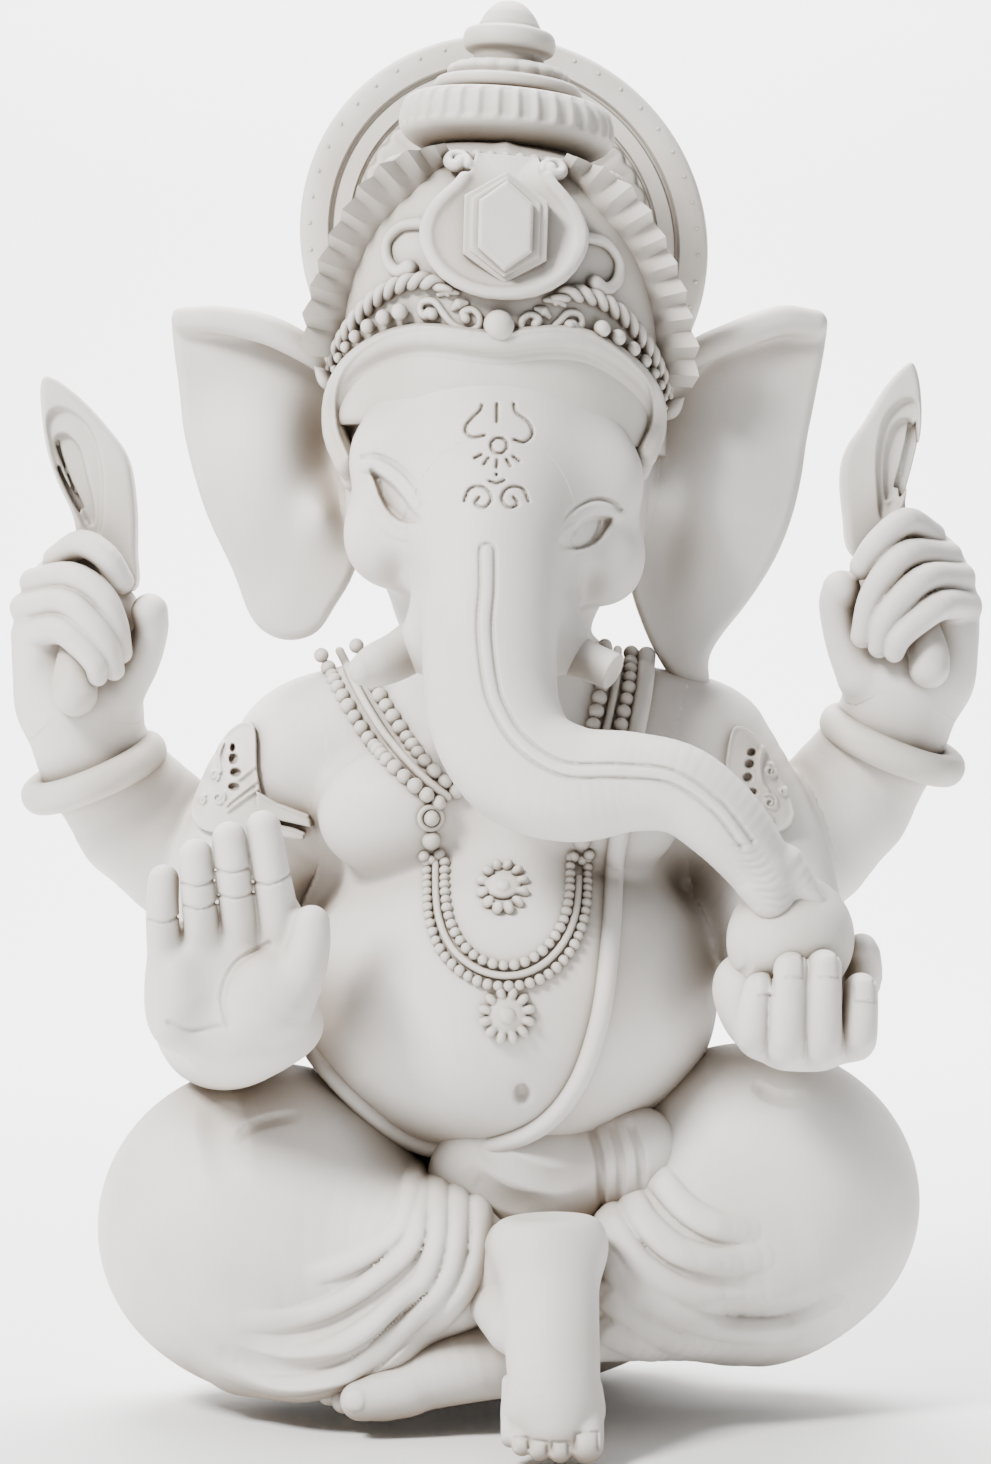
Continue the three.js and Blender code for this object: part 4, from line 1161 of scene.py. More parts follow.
class Face:
    """The head without trunk, ears and tusks, in the head's frame."""

    right_opening: tuple[Row, ...] = (
        (-25.4, 195.2), (-23.4, 193.9), (-20.4, 191.2), (-17.9, 187.9), (-16.2, 185.9), (-14.6, 184.2),
        (-16.6, 183.9), (-19.4, 184.6), (-21.9, 186.9), (-23.5, 190), (-24.6, 193)
    )
    left_opening: tuple[Row, ...] = (
        (12.4, 179), (13.9, 181.2), (16, 183.2), (18.6, 185), (21.4, 185.4), (23.6, 185.2), (22.4, 182.9),
        (20.6, 180.6), (18, 179.2), (15.2, 178.7)
    )
    right_lid: tuple[Row, ...] = (
        (-26.4, 196.3), (-24, 196), (-20.7, 194.2), (-17.8, 191.2), (-15.7, 188.2), (-14.3, 185.4)
    )
    left_lid: tuple[Row, ...] = (
        (12.6, 180.4), (14.5, 183.4), (17.2, 185.9), (20.2, 187.2), (23, 187), (25, 186.2)
    )

    @cached_property
    def form(self) -> Form:
        """The head in the figure's frame."""
        skull = ellipsoid((0, -5, 6), (33, 33, 34))
        head = skull.joined(ellipsoid((0, -18, -10), (30.5, 24, 21)), 8)
        head = head.joined(ellipsoid((0, -24, 8), (25, 18, 20)), 8)
        head = head.joined(ellipsoid((0, -12, -27), (21, 17, 15)), 5)
        for side in SIDES:
            head = head.joined(ellipsoid((side * 22.5, -27, -15.5), (8.5, 9, 9.5)), 5)
            head = head.joined(ellipsoid((side * 21, -31, 1), (9, 7, 10), (0, side * -20, 0)), 6)
            head = head.carved(ellipsoid((side * 19, -43, -24), (4.6, 10, 6.5)), 4)
        return on_head(head).lifted(on_front(self._carving, front_plane, -10), 1.2)

    @cached_property
    def _carving(self) -> list[Strokes | Patch]:
        """The eyes and the marks on the forehead, drawn in the figure's x and z."""
        right, left = plain(self.right_opening, 3, True), plain(self.left_opening, 3, True)
        work = [
            Folds((fading(self.right_lid, 0.5, 0.5),), 1.9, 1.3),
            Folds((fading(self.left_lid, 0.5, 0.5),), 1.7, 0.9),
            Folds((fading([(-25, 190.5), (-22.8, 185.6), (-19, 182.6), (-15, 182.4)], 0.2, 0.3),), 2.2, 0.7),
            Patch(right, -1.9, 0.45),
            Patch(left, -1.7, 0.45),
            Folds((fading([(-23, 191.8), (-21, 189), (-18.6, 186)], 0.6, 0.6),), 3.2, 0.9),
            Folds((fading([(16, 180.6), (18.6, 182), (21, 183.4)], 0.6, 0.6),), 2.8, 0.8),
        ]
        arcs = (
            plain(((-19.2, 189.6), (-17.9, 187.2), (-18.4, 184.9))),
            plain(((-23.5, 192.6), (-23.2, 189.8), (-21.6, 187.2))),
            plain(((16, 182.6), (15.4, 180.9), (15.9, 179.2))),
            plain(((21.3, 185), (20.9, 182.8), (19.9, 181))),
        )
        creases = (
            plain(((-27, 197.6), (-23.8, 197.6), (-19.8, 195.3), (-16.6, 191.8), (-13.6, 186.4))),
            plain(((12, 180.6), (13.6, 184.2), (16.6, 187.2), (20.2, 188.9), (23.6, 188.4), (25.6, 187))),
        )
        work.append(Strokes(arcs, 0.5, -0.5))
        work.append(Strokes(creases, 0.9, -0.95))
        work.append(Folds((np.array([(-15.5, 187.3, 1), (-15.4, 187.5, 1)]),), 0.6, 0.9))
        work.append(Strokes(self.marks(), 0.5, -1.0))
        return work

    @staticmethod
    def marks() -> tuple[Array, ...]:
        """The engraved lines: a three-tined crest, a rayed ring, a crescent and a curled leaf."""
        middle = np.array([0.7, 199.1])
        angles = np.linspace(0, 2 * np.pi, 17)
        ring = middle + 1.65 * np.column_stack([np.cos(angles), np.sin(angles)])
        tines = (
            ((-3.4, 8.6), (-3.8, 7.4), (-6.2, 4.9), (-6.7, 3), (-5.3, 1.8), (-2.8, 2.2)),
            ((-0.4, 8.8), (-0.4, 6.8), (-0.4, 4.9)),
            ((3, 8.8), (3.5, 6.9), (6, 4.9), (6.7, 2.5), (5, 0.8), (3, 1.3))
        )
        rays = ((-4, -2.1), (-2.4, -3.1), (-0.4, -3.6), (1.8, -3.4), (3.3, -2.6))
        lines = [middle + plain(tine) for tine in tines] + [ring]
        for ray in rays:
            out = np.array(ray) / math.hypot(*ray)
            lines.append(middle + np.array([out * (math.hypot(*ray) - 0.6), out * (math.hypot(*ray) + 1.0)]))
        lines.append(np.array([(0.2, 193.2), (0.25, 192.9)]))
        lines.append(plain(((-1.2, 191.7), (0.3, 191.2), (1.8, 191.9))))
        leaf = ((-6.6, 187.6), (-5.4, 190.2), (-2.8, 190.4), (-1.2, 188.2), (-2.6, 186.2), (-4.4, 187),
                (-3.6, 188.4))
        for side in (-1, 1):
            lines.append(plain([(0.2 + side * (-0.2 - x), z) for x, z in leaf]))
        return tuple(lines)


class Trunk:
    """The trunk, which sweeps to the figure's left and rests its tip on the sweet."""

    stations: tuple[Row, ...] = (
        (0.5, -30, 194, 15), (-0.8, -41, 181, 15), (-1.1, -46.5, 170, 14.2), (-1.2, -52, 157, 13.5),
        (-0.2, -57, 145, 13.2), (5, -61.5, 135.5, 12.6), (15, -65, 131.5, 11.4), (26, -67.5, 132, 9.8),
        (36, -69, 130.5, 8.8), (44.5, -69, 124, 8), (51, -67.5, 116, 6.6), (54, -66.5, 110.8, 5.4)
    )

    @cached_property
    def form(self) -> Form:
        """The trunk without the head."""
        body = limb(self.stations, 6)
        for side in SIDES:
            sheath = limb([(-0.6 + side * 8, -40, 166, 8.5), (-0.4 + side * 13, -41, 159.5, 6.4)])
            body = body.joined(sheath, 4)
        tip = limb([(52, -68, 114, 6), (53.4, -68.6, 109.4, 4.2)])
        point = limb([(56, -66.5, 115, 5), (61.4, -66.5, 109.6, 2.6), (62.6, -66.2, 108.6, 2.2)])
        body = body.joined(tip, 1).joined(point, 1.2)
        body = body.lifted(on_front(self._carving, front_plane, -40), 0.6)
        return body.lifted(on_front([Strokes(Face.marks(), 0.5, -1.0)], front_plane, -30), 0.6)

    @cached_property
    def _carving(self) -> list[Strokes | Folds]:
        """The long loop down the front, and the wrinkles near the tip."""
        middle = spline(
            ((-1.6, 177.4), (-1.6, 170), (-2.1, 161.9), (-1.1, 152.3), (0.6, 146.4), (5, 139.6), (13, 134.6),
             (24, 134.2), (34, 133), (42.5, 127.4), (48.5, 120)), 5)
        along = np.gradient(middle, axis=0)
        along /= np.linalg.norm(along, axis=1)[:, None]
        across = np.column_stack([-along[:, 1], along[:, 0]])
        half = np.linspace(1.5, 1.2, len(middle))[:, None]
        angles = np.linspace(0, np.pi, 9)
        arch = middle[0] + 1.5 * np.column_stack([np.cos(angles), np.sin(angles)])
        loop = np.vstack([(middle - across * half)[::-1], arch[::-1], middle + across * half])
        work: list[Strokes | Folds] = [Strokes((loop,), 0.6, -0.6), Folds((fading(middle, 1, 1),), 1.2, 0.3,
                                                                          1)]
        wrinkles = []
        for i in range(9):
            x, z = 48.0 + 0.9 * i, 121.5 - 1.5 * i
            wrinkles.append(fading([(x - 3.4, z - 1.4), (x, z - 1.6), (x + 3.2, z + 0.2)], 0, 0))
        work.append(Folds(tuple(wrinkles), 0.5, -0.28, 1))
        return work


@dataclass(frozen=True)
class Ear:
    """One broad ear, in the figure's frame."""

    outline: tuple[Row, ...]
    rim: tuple[Row, ...]
    swells: tuple[tuple[Row, Row, float], ...]  # middle, spread, and how far it comes forward
    thickness: float = 5.0
    plane: float = -3.0

    @cached_property
    def form(self) -> Form:
        """The ear."""
        outline = plain(self.outline, 4, True)[:-1]
        half = self.thickness / 2

        def bend(points: Array) -> Array:
            depth = np.full(len(points), self.plane)
            for (x, z), (wide, high), forward in self.swells:
                away = ((points[:, 0] - x) / wide) ** 2 + ((points[:, 2] - z) / high) ** 2
                depth -= forward * np.exp(-away)
            return depth

        flat = slab(outline, -half, half, 2.0)

        def distance(points: Array) -> Array:
            level = points.copy()
            level[:, 1] -= bend(points)
            return flat.distance(level) * 0.85

        reach = max(abs(forward) for *_, forward in self.swells) + 3
        ear = Form(distance, flat.low + [0, self.plane - reach, 0], flat.high + [0, self.plane + reach, 0])
        return ear.joined(limb(self.rim), 3.0)


RIGHT_EAR = Ear(
    outline=(
        (-68.9, 229.5), (-66.5, 232), (-56.5, 231.4), (-48, 228), (-40, 222), (-30, 216), (-26, 204),
        (-27, 188), (-30, 176), (-34.1, 168.6), (-38, 163), (-43.5, 161.2), (-48.6, 162.6), (-52.4, 166.8),
        (-56, 176.2), (-61.8, 188.9), (-66, 203.8), (-67.3, 214)
    ),
    rim=((-66, -8.5, 229, 2.6), (-58, -11, 228.6, 3), (-48, -12, 226.4, 3.2), (-40, -11, 222.5, 3),
         (-33, -8, 218, 2.5)),
    swells=(((-49, 201), (13, 19), 6), ((-35.5, 203), (6, 12), -5.5), ((-36.5, 188), (4.5, 6), 5),
            ((-60, 224), (12, 6), 2), ((-45, 168), (9, 9), 2)),
)
LEFT_EAR = Ear(
    outline=(
        (70.4, 226), (69.6, 230.2), (63.7, 231.9), (55, 229.6), (47, 226.6), (40, 222), (30, 216), (26, 204),
        (27, 188), (28.5, 174), (31, 165.5), (34.6, 157.6), (39.4, 150.6), (43.4, 148.6), (45.6, 151),
        (45.4, 156.6), (47.5, 161.3), (54.1, 169.8), (59.4, 178.3), (62.9, 186.8), (65, 195.3),
        (66.3, 203.8), (68, 212.3)
    ),
    rim=((67.5, -8, 228.4, 2.8), (60, -10, 228.6, 3.2), (50, -11, 225, 3.2), (42, -10, 221.5, 3),
         (35, -8, 216, 2.5)),
    swells=(((49, 196), (13, 19), 6), ((36.5, 178), (6, 14), -5), ((34.5, 192), (4, 6), 4.5),
            ((62, 222), (12, 6), 2), ((42, 156), (5, 8), 2)),
)


class Legs:
    """The folded legs in their cloth, the seat behind them and the sash between them."""

    right_thigh: tuple[Row, Row] = ((-47.5, -13, 38), (36, 33, 34))
    left_thigh: tuple[Row, Row] = ((54, -10, 43), (35.4, 32, 33))

    @cached_property
    def right(self) -> Form:
        """The right leg, whose shin crosses in front."""
        leg = ellipsoid(*self.right_thigh)
        leg = leg.joined(limb([(-44, -20, 30, 24), (-22, -30, 32, 20), (-9, -42, 34, 13.5)]), 8)
        leg = leg.joined(limb([(-52, -30, 12.5, 6), (-38, -40, 13, 7), (-22, -45, 20, 7)]), 6)
        folds = [
            [(-16.7, 51), (-18.9, 43.3), (-24.6, 38.2), (-31, 34.6), (-37, 32.6)],
            [(-15, 49), (-16.7, 39.9), (-24, 32.6), (-32.5, 26.9), (-42.1, 23.5), (-52, 22.8)],
            [(-11.6, 50), (-11.6, 41), (-14.4, 33.1), (-18.9, 28.8), (-25.1, 23.2), (-33.6, 18), (-43, 15)],
            [(-7.2, 50), (-7.6, 39.4), (-9.9, 32), (-14.4, 26.4), (-20.6, 20.7), (-26.3, 15.6), (-34, 11.6),
            (-46, 9.6), (-58, 13)], [(-2.8, 49), (-3.1, 38.8), (-5.4, 32), (-9.3, 26.4), (-13, 22)]
        ]
        ridges = Folds(tuple(fading(fold, 0.6) for fold in folds), 2.25, 2.0)
        valley = Folds((fading([(-16, 25.5), (-25, 16.8), (-33, 14), (-44, 12.8), (-56, 15.5)], 0.2, 0),),
                       3.2, -2.4, 1)
        pinch = Folds((fading([(-53, 58.6), (-50.2, 61), (-45.5, 62.5), (-40, 63.4)], 0, 0),), 1.3, -1.1, 1)
        dimple = Folds((fading([(-57, 64), (-55, 58), (-53.6, 51)], 0, 0),), 5.5, -1.6, 1.5)
        return leg.lifted(on_front([ridges, valley, pinch, dimple], front_plane, -14), 2)

    @cached_property
    def left(self) -> Form:
        """The left leg, folded under the other."""
        leg = ellipsoid(*self.left_thigh)
        leg = leg.joined(limb([(52, -20, 33, 22), (34, -32, 30, 17), (18, -40, 27, 13), (8, -42, 24, 12)]), 8)
        folds = [
            [(33.5, 50.5), (38.3, 45.6), (44.3, 42.4), (52, 41.4)],
            [(28, 46), (31, 42), (37.1, 37.4), (46.2, 35.2), (55, 36)],
            [(22.6, 44), (28.7, 35.2), (37.1, 29.8), (46.2, 27.2), (56, 26.6)],
            [(21.5, 38), (25, 32.6), (31.1, 28), (39.5, 23.6), (49.2, 20.6), (60, 20.4), (72, 25)],
            [(21.8, 30), (28.7, 23.4), (36, 19), (44, 16.6)], [(22, 22.5), (27, 19), (33, 15.8)]
        ]
        ridges = Folds(tuple(fading(fold, 0.6) for fold in folds), 3.0, 2.0)
        valley = Folds((fading([(43, 25), (51, 23.6), (60, 24), (70, 28)], 0.1, 0),), 3.4, -1.6, 1)
        pinch = Folds((fading([(53, 69), (58, 66.5), (64, 66.6)], 0, 0),), 1.6, -1.0, 1)
        return leg.lifted(on_front([ridges, valley, pinch], front_plane, -12), 2)

    @cached_property
    def seat(self) -> Form:
        """The cloth over the hips, gathered in soft folds at the back."""
        seat = ellipsoid((0, 14, 33), (52, 33, 34)).joined(ellipsoid((0, 16, 58), (42, 26, 13)), 10)

        def gathers(points: Array) -> Array:
            around = np.arctan2(points[:, 0], points[:, 1] - 4)
            back = smooth_step(points[:, 1], 8, 22)
            return 0.7 * back * np.sin(around * 26 + 0.05 * points[:, 2]) * smooth_step(-points[:, 2], -66,
                                                                                        -50)

        flat = Form(lambda points: 0.6 - points[:, 2], np.array([-99, -99, 0.6]), np.array([99, 99, 99]))
        kept = seat.lifted(gathers, 0.7).within(flat, 1)
        return Form(kept.distance, np.array([-54.0, -20, 0.6]), np.array([54.0, 49, 73]))

    @cached_property
    def sash(self) -> Form:
        """The end of cloth that falls between the legs."""
        sash = ellipsoid((5, -29, 50), (19, 10, 15)).joined(ellipsoid((27.5, -28, 54), (12, 9.5, 11)), 4)
        lines = [[(19.6, 61), (21.4, 53), (21.8, 43)], [(23.6, 62), (25.4, 55), (25.6, 46.6)],
                 [(27.4, 61.6), (29.4, 56), (29.8, 49)]]
        puckers = Folds(tuple(fading(line, 0.4, 0.4) for line in lines), 1.1, -0.9, 1)
        waves = Folds((fading([(-4, 60), (2, 54), (12, 50.6), (19, 52)], 0, 0),
                       fading([(-6, 52), (2, 47), (12, 45)], 0, 0)), 2.6, -0.7, 1)
        return sash.lifted(on_front([puckers, waves], front_plane, 0))


class Feet:
    """The two bare feet."""

    @cached_property
    def hanging(self) -> Form:
        """The right foot, which hangs in front."""
        foot = ellipsoid((10.6, -57, 40), (11, 9, 7.5))
        foot = foot.joined(limb([(10.5, -56, 40, 10), (10.9, -64, 27, 9.4), (11.4, -70, 15, 8.8),
                                 (11.8, -74, 8, 6.4)]), 5)
        foot = foot.joined(limb([(2, -47, 34, 9), (0, -50, 29, 6), (3, -58, 24, 5)]), 5)
        foot = foot.carved(ellipsoid((8, -56, 58), (30, 26, 12.6)), 2.5)
        foot = foot.joined(ellipsoid((11.2, -70, 9.5), (9.8, 7, 6.5)), 4)
        toes = ((17.4, -77, 4.6, 3.5), (12.4, -78, 3.9, 2.45), (8.5, -77.3, 4, 2.3), (5.1, -76, 4.4, 2.1),
                (2.9, -73.8, 5.4, 1.9))
        for x, y, z, radius in toes:
            toe = limb([(x * 0.98 + 0.3, y + 9, z + 9, radius), (x, y + 2, z + 2.4, radius),
                        (x, y, z, radius * 0.96)])
            foot = foot.joined(toe, 0.7)
        nails = []
        for x, _, z, radius in toes[:4]:
            half = radius * 0.62
            corners = [(x - half, z - radius * 0.1), (x - half, z + radius * 0.8),
                       (x + half, z + radius * 0.8),
                       (x + half, z - radius * 0.1)]
            nails.append(np.array(corners))
        return foot.lifted(on_front([Strokes(tuple(nails), 0.5, -0.4)], front_plane, -72))

    @cached_property
    def tucked(self) -> Form:
        """The left foot, whose sole and toes show under the other leg's hem."""
        foot = limb([(12, -36, 17, 10), (2, -42, 15.5, 8.2), (-12, -44.5, 12.2, 6.6), (-22, -46, 9, 5.2)])
        foot = foot.joined(limb([(-18, -46.5, 9.4, 4.9), (-25, -48, 8.2, 4.4), (-27, -48.5, 7.9, 4.1)]), 2)
        for x, y, z, radius in ((-30.5, -44, 7, 2.6), (-33.6, -41.5, 7.8, 2.3), (-36.2, -39, 8.8, 2.1)):
            foot = foot.joined(limb([(x + 8, y + 1, z + 1.5, radius), (x, y, z, radius)]), 0.6)
        nail = plain([(-29.9, 9.6), (-28.2, 10.6), (-26.4, 10.2), (-26.2, 7.6), (-27.6, 6.4), (-29.6, 6.8)],
                     3, True)
        return foot.lifted(on_front([Patch(nail, 0.3, 0.3)], front_plane, -46), 0.3)


class Figure:
    """The whole body, section by section."""

    grains = {"torso": 0.8, "head": 0.42, "trunk": 0.4, "right_ear": 0.6, "left_ear": 0.6,
              "front_right_arm": 0.7, "front_left_arm": 0.7, "rear_right_arm": 0.7, "rear_left_arm": 0.7,
              "blessing_hand": 0.38, "sweet_hand": 0.36, "rear_right_hand": 0.38, "rear_left_hand": 0.38}

    def __init__(self) -> None:
        """Shapes the sections, which the ornaments are laid on."""
        self.torso = Torso()
        self.arms = Arms()
        self.legs = Legs()
        self.feet = Feet()
        self.trunk = Trunk()
        arms, hands = self.arms, (BlessingHand(), SweetHand())
        self.sections = {
            "head": Face().form, "trunk": self.trunk.form,
            "right_ear": RIGHT_EAR.form, "left_ear": LEFT_EAR.form, "torso": self.torso.form,
            "front_right_arm": arms.front_right, "front_left_arm": arms.front_left,
            "rear_right_arm": arms.rear_right, "rear_left_arm": arms.rear_left,
            "blessing_hand": hands[0].form, "sweet_hand": hands[1].form,
            "rear_right_hand": RIGHT_FIST.form, "rear_left_hand": LEFT_FIST.form,
        }
        ranks = {name: 1 for name in self.sections}
        ranks.update(head=0, torso=1, front_right_arm=2, front_left_arm=2, rear_right_arm=3, rear_left_arm=3)
        ranks.update(blessing_hand=1, sweet_hand=1, rear_right_hand=2, rear_left_hand=2)
        seams = [Seam("head", "trunk", 12), Seam("head", "right_ear", 4), Seam("head", "left_ear", 4),
                 Seam("head", "torso", 3)]
        seams += [Seam("torso", f"front_{side}_arm", 8) for side in ("right", "left")]
        seams += [Seam("torso", f"rear_{side}_arm", 7) for side in ("right", "left")]
        seams += [Seam(f"front_{side}_arm", f"rear_{side}_arm", 3) for side in ("right", "left")]
        seams += [Seam(f"rear_{side}_hand", f"rear_{side}_arm", 4) for side in ("right", "left")]
        seams += [Seam("blessing_hand", "front_right_arm", 4), Seam("sweet_hand", "front_left_arm", 4)]
        self.flesh = Flesh(self.sections, ranks, seams)

    def build(self, shop: Workshop) -> None:
        """Makes the pieces of the body, legs and feet."""
        for name in self.sections:
            shop.sculpt(name, self.flesh.section(name), self.grains[name], Slot.SKIN)
        shop.sculpt("right_leg", self.legs.right, 0.55, Slot.CLOTH)
        shop.sculpt("left_leg", self.legs.left, 0.55, Slot.CLOTH)
        shop.sculpt("seat", self.legs.seat, 1.0, Slot.CLOTH)
        shop.sculpt("waist_sash", self.legs.sash, 0.5, Slot.CLOTH)
        shop.sculpt("right_foot", self.feet.hanging, 0.4, Slot.SKIN)
        shop.sculpt("left_foot", self.feet.tucked, 0.45, Slot.SKIN)


# ---------------------------------------------------------------- worn and held things


def curl(centre: Row, radius: float, start: float, turns: float, inner: float = 0.25) -> Array:
    """A flat spiral that winds in towards its middle.

    Args:
        centre: x and z of the middle.
        radius: reach of the outer end.
        start: angle of the outer end, in degrees.
        turns: turns to the inner end; negative winds clockwise.
        inner: share of the radius that is left at the inner end.

    Returns:
        Rows of x and z.
    """
    share = np.linspace(0, 1, max(8, int(abs(turns) * 16)))
    angles = math.radians(start) + 2 * np.pi * turns * share
    reach = radius * (1 - (1 - inner) * share)
    return np.column_stack([centre[0] + reach * np.cos(angles), centre[1] + reach * np.sin(angles)])


@dataclass(frozen=True)
class Armlet:
    """A pierced band on an upper arm."""

    outline: tuple[Row, ...]
    holes: tuple[Row, ...]
    ridges: tuple[tuple[Row, ...], ...]
    curls: tuple[Array, ...]

    def form(self, arm: Form) -> Form:
        """The band round the arm."""
        outline = plain(self.outline, 4, True)[:-1]
        band = arm.grown(1.5).within(slab(outline, -24, 24, 0.5), 0.6)
        work: list[Strokes | Patch] = [Strokes(tuple(plain(ridge) for ridge in self.ridges), 0.75, 0.8)]
        work.append(Strokes(self.curls, 0.6, 0.7))
        for x, z, wide, high in self.holes:
            angles = np.linspace(0, 2 * np.pi, 10)[:-1]
            leaf = np.column_stack([x + wide * np.cos(angles), z + high * np.sin(angles)])
            work.append(Patch(leaf, -1.5, 0.35))
        rim = plain(self.outline, 4, True)
        work.append(Strokes((rim,), 0.8, 0.35))
        return band.lifted(on_front(work, front_plane, 2), 0.8)


RIGHT_ARMLET = Armlet(
    outline=((-51, 142.6), (-54.5, 143.2), (-58.5, 139.8), (-61.5, 134.3), (-63.4, 129.4), (-64.6, 125),
             (-62, 121.6), (-56, 120.6), (-49, 121.6), (-47.4, 125), (-49.2, 128.6), (-50.3, 134.3)),
    holes=((-55.5, 138.3, 0.5, 0.9), (-55.2, 136, 1, 1.15), (-54.6, 133.2, 1.15, 0.85), (-54.9, 130.2, 1.2,
                                                                                         0.75)),
    ridges=(((-53.9, 131.8), (-52.4, 133), (-50.6, 134.4)), ((-56.5, 126.4), (-53.6, 128.8), (-50.4, 131.2)),
            ((-56.2, 125.2), (-53, 127.6), (-50, 129.6)), ((-57.8, 139.4), (-58.6, 136.6), (-58, 133.4))),
    curls=(curl((-58.3, 127.9), 1.5, 40, -1.4), curl((-59.4, 132.6), 1.2, -60, 1.3), curl((-61.8, 127.4),
                                                                                          1.0, 60, 1.2)),
)
LEFT_ARMLET = Armlet(
    outline=((50.4, 142.6), (49, 139.1), (48.4, 133.3), (50, 127), (55, 120.8), (60.4, 121.4), (62.6, 124.4),
             (61.4, 129), (59.4, 132.6), (57.4, 137), (53.6, 141.6)),
    holes=((53.7, 137.4, 0.9, 0.8), (53.2, 135, 0.95, 0.85), (52.8, 132.2, 0.95, 0.9), (53.6, 129.2, 1.1,
                                                                                        0.7)),
    ridges=(((56.2, 138.4), (55.4, 135.4), (55.6, 131.6), (57, 129.4)), ((51, 127.6), (54, 125.6),
                                                                         (58, 123.4))),
    curls=(curl((57.7, 133.6), 1.5, 100, -1.4), curl((57.5, 127.0), 1.7, 120, -1.5), curl((60.4, 129.4),
                                                                                          0.9, 40, -1.2)),
)


class ArmWear:
    """Armlets, the tied ribbon and the bangles."""

    ribbons: tuple[tuple[Row, ...], ...] = (
        ((-50, 129.4), (-45.6, 126.9), (-38.9, 124.4), (-38.4, 121.8), (-44.6, 123.2), (-49.8, 125.4)),
        ((-47, 122.6), (-42.6, 121.9), (-39.6, 120.7), (-40.2, 119.2), (-43.8, 119.6), (-47.4, 120.6))
    )
    bangle_radius: float = 13.2
    bangle_tube: float = 3.6

    def build(self, shop: Workshop, arms: Arms) -> None:
        """Makes the pieces on the arms."""
        shop.sculpt("right_armlet", RIGHT_ARMLET.form(arms.front_right), 0.32, Slot.ORNAMENT)
        shop.sculpt("left_armlet", LEFT_ARMLET.form(arms.front_left), 0.32, Slot.ORNAMENT)
        shop.sculpt("armlet_ribbon", self._ribbon, 0.32, Slot.ORNAMENT)
        for side, hand in zip(SIDES, ("right", "left")):
            shop.add(f"rear_{hand}_bangle", self._bangle(side), Slot.ORNAMENT)

    @property
    def _ribbon(self) -> Form:
        """Two flat tails that hang from the right armlet."""
        tails = whole([slab(np.array(tail, float), -19.5 + i, -13, 0.5) for i,
                       tail in enumerate(self.ribbons)])
        lines = tuple(plain([(x, z) for x, z in tail[:3]]) - [0.2, 0.7] for tail in self.ribbons)
        return tails.lifted(on_front([Strokes(lines, 0.5, -0.3)], front_plane, 0))

    def _bangle(self, side: int) -> Shell:
        """A thick ring with a soft crest, tilted round a wrist."""
        wrist = np.array([-86.4, 4, 133.0] if side < 0 else [85.4, 4, 139.0])
        around = 2 * np.pi * np.arange(72) / 72
        across = 2 * np.pi * np.arange(20) / 20
        tube = self.bangle_tube * (1 + 0.05 * np.cos(2 * across) - 0.03 * np.cos(3 * across))
        out = self.bangle_radius + tube * np.cos(across) * 0.92
        up = tube * np.sin(across) * 1.02
        rings = np.array([np.column_stack([out * math.cos(a), out * math.sin(a), up]) for a in around])
        turn = Matrix.Rotation(math.radians(side * 22), 3, "Y") @ Matrix.Rotation(math.radians(12), 3, "X")
        shell = ringed(rings, closed=True)
        return shell.moved(lambda points: points @ np.array(turn).T + wrist)


@dataclass(frozen=True)
class Blade:
    """A broad leaf of a blade with two steps sunk in its face, on a round stem."""

    outline: tuple[Row, ...]
    steps: tuple[tuple[Row, ...], ...]
    slot: tuple[Row, ...]
    stem: tuple[Row, ...]

    @cached_property
    def form(self) -> Form:
        """The blade and its stem."""
        leaf = slab(plain(self.outline, 5, True)[:-1], -4.2, 3.6, 1.4)
        work: list[Patch | Strokes] = [Patch(plain(step, 5, True)[:-1], -1.4, 0.6) for step in self.steps]
        work.append(Strokes((plain(self.slot),), 0.9, -0.4))
        leaf = leaf.lifted(on_front(work, front_plane, 0))
        return leaf.joined(limb(self.stem), 1)


RIGHT_BLADE = Blade(
    outline=((-95.4, 217.6), (-97, 215.6), (-96.8, 209.5), (-95.7, 202), (-93.4, 195), (-90.6, 189),
             (-89.4, 184),
             (-89, 174), (-77.4, 172), (-76.7, 181), (-76.9, 191), (-78.6, 200.4), (-83.6, 207.6),
             (-90, 214.2)),
    steps=(
        ((-95.4, 208.6), (-92.4, 210.8), (-87.2, 207.4), (-84.4, 201), (-83.6, 192), (-84.4, 184),
        (-87, 184.6), (-90, 190), (-92.8, 196), (-94.6, 202)), ((-93.9, 203.6), (-91.8, 205.2),
        (-88.9, 202.4), (-87.4, 197), (-85.8, 190), (-86.2, 186), (-88.6, 190), (-91.6, 196.4))
    ),
    slot=((-93.2, 198), (-90.6, 192.6), (-87.4, 187)),
    stem=((-88.6, -11.5, 149.6, 4.7), (-88.6, -10, 154, 4.7), (-87, -4, 166, 4), (-83, 0, 182, 3.6)),
)
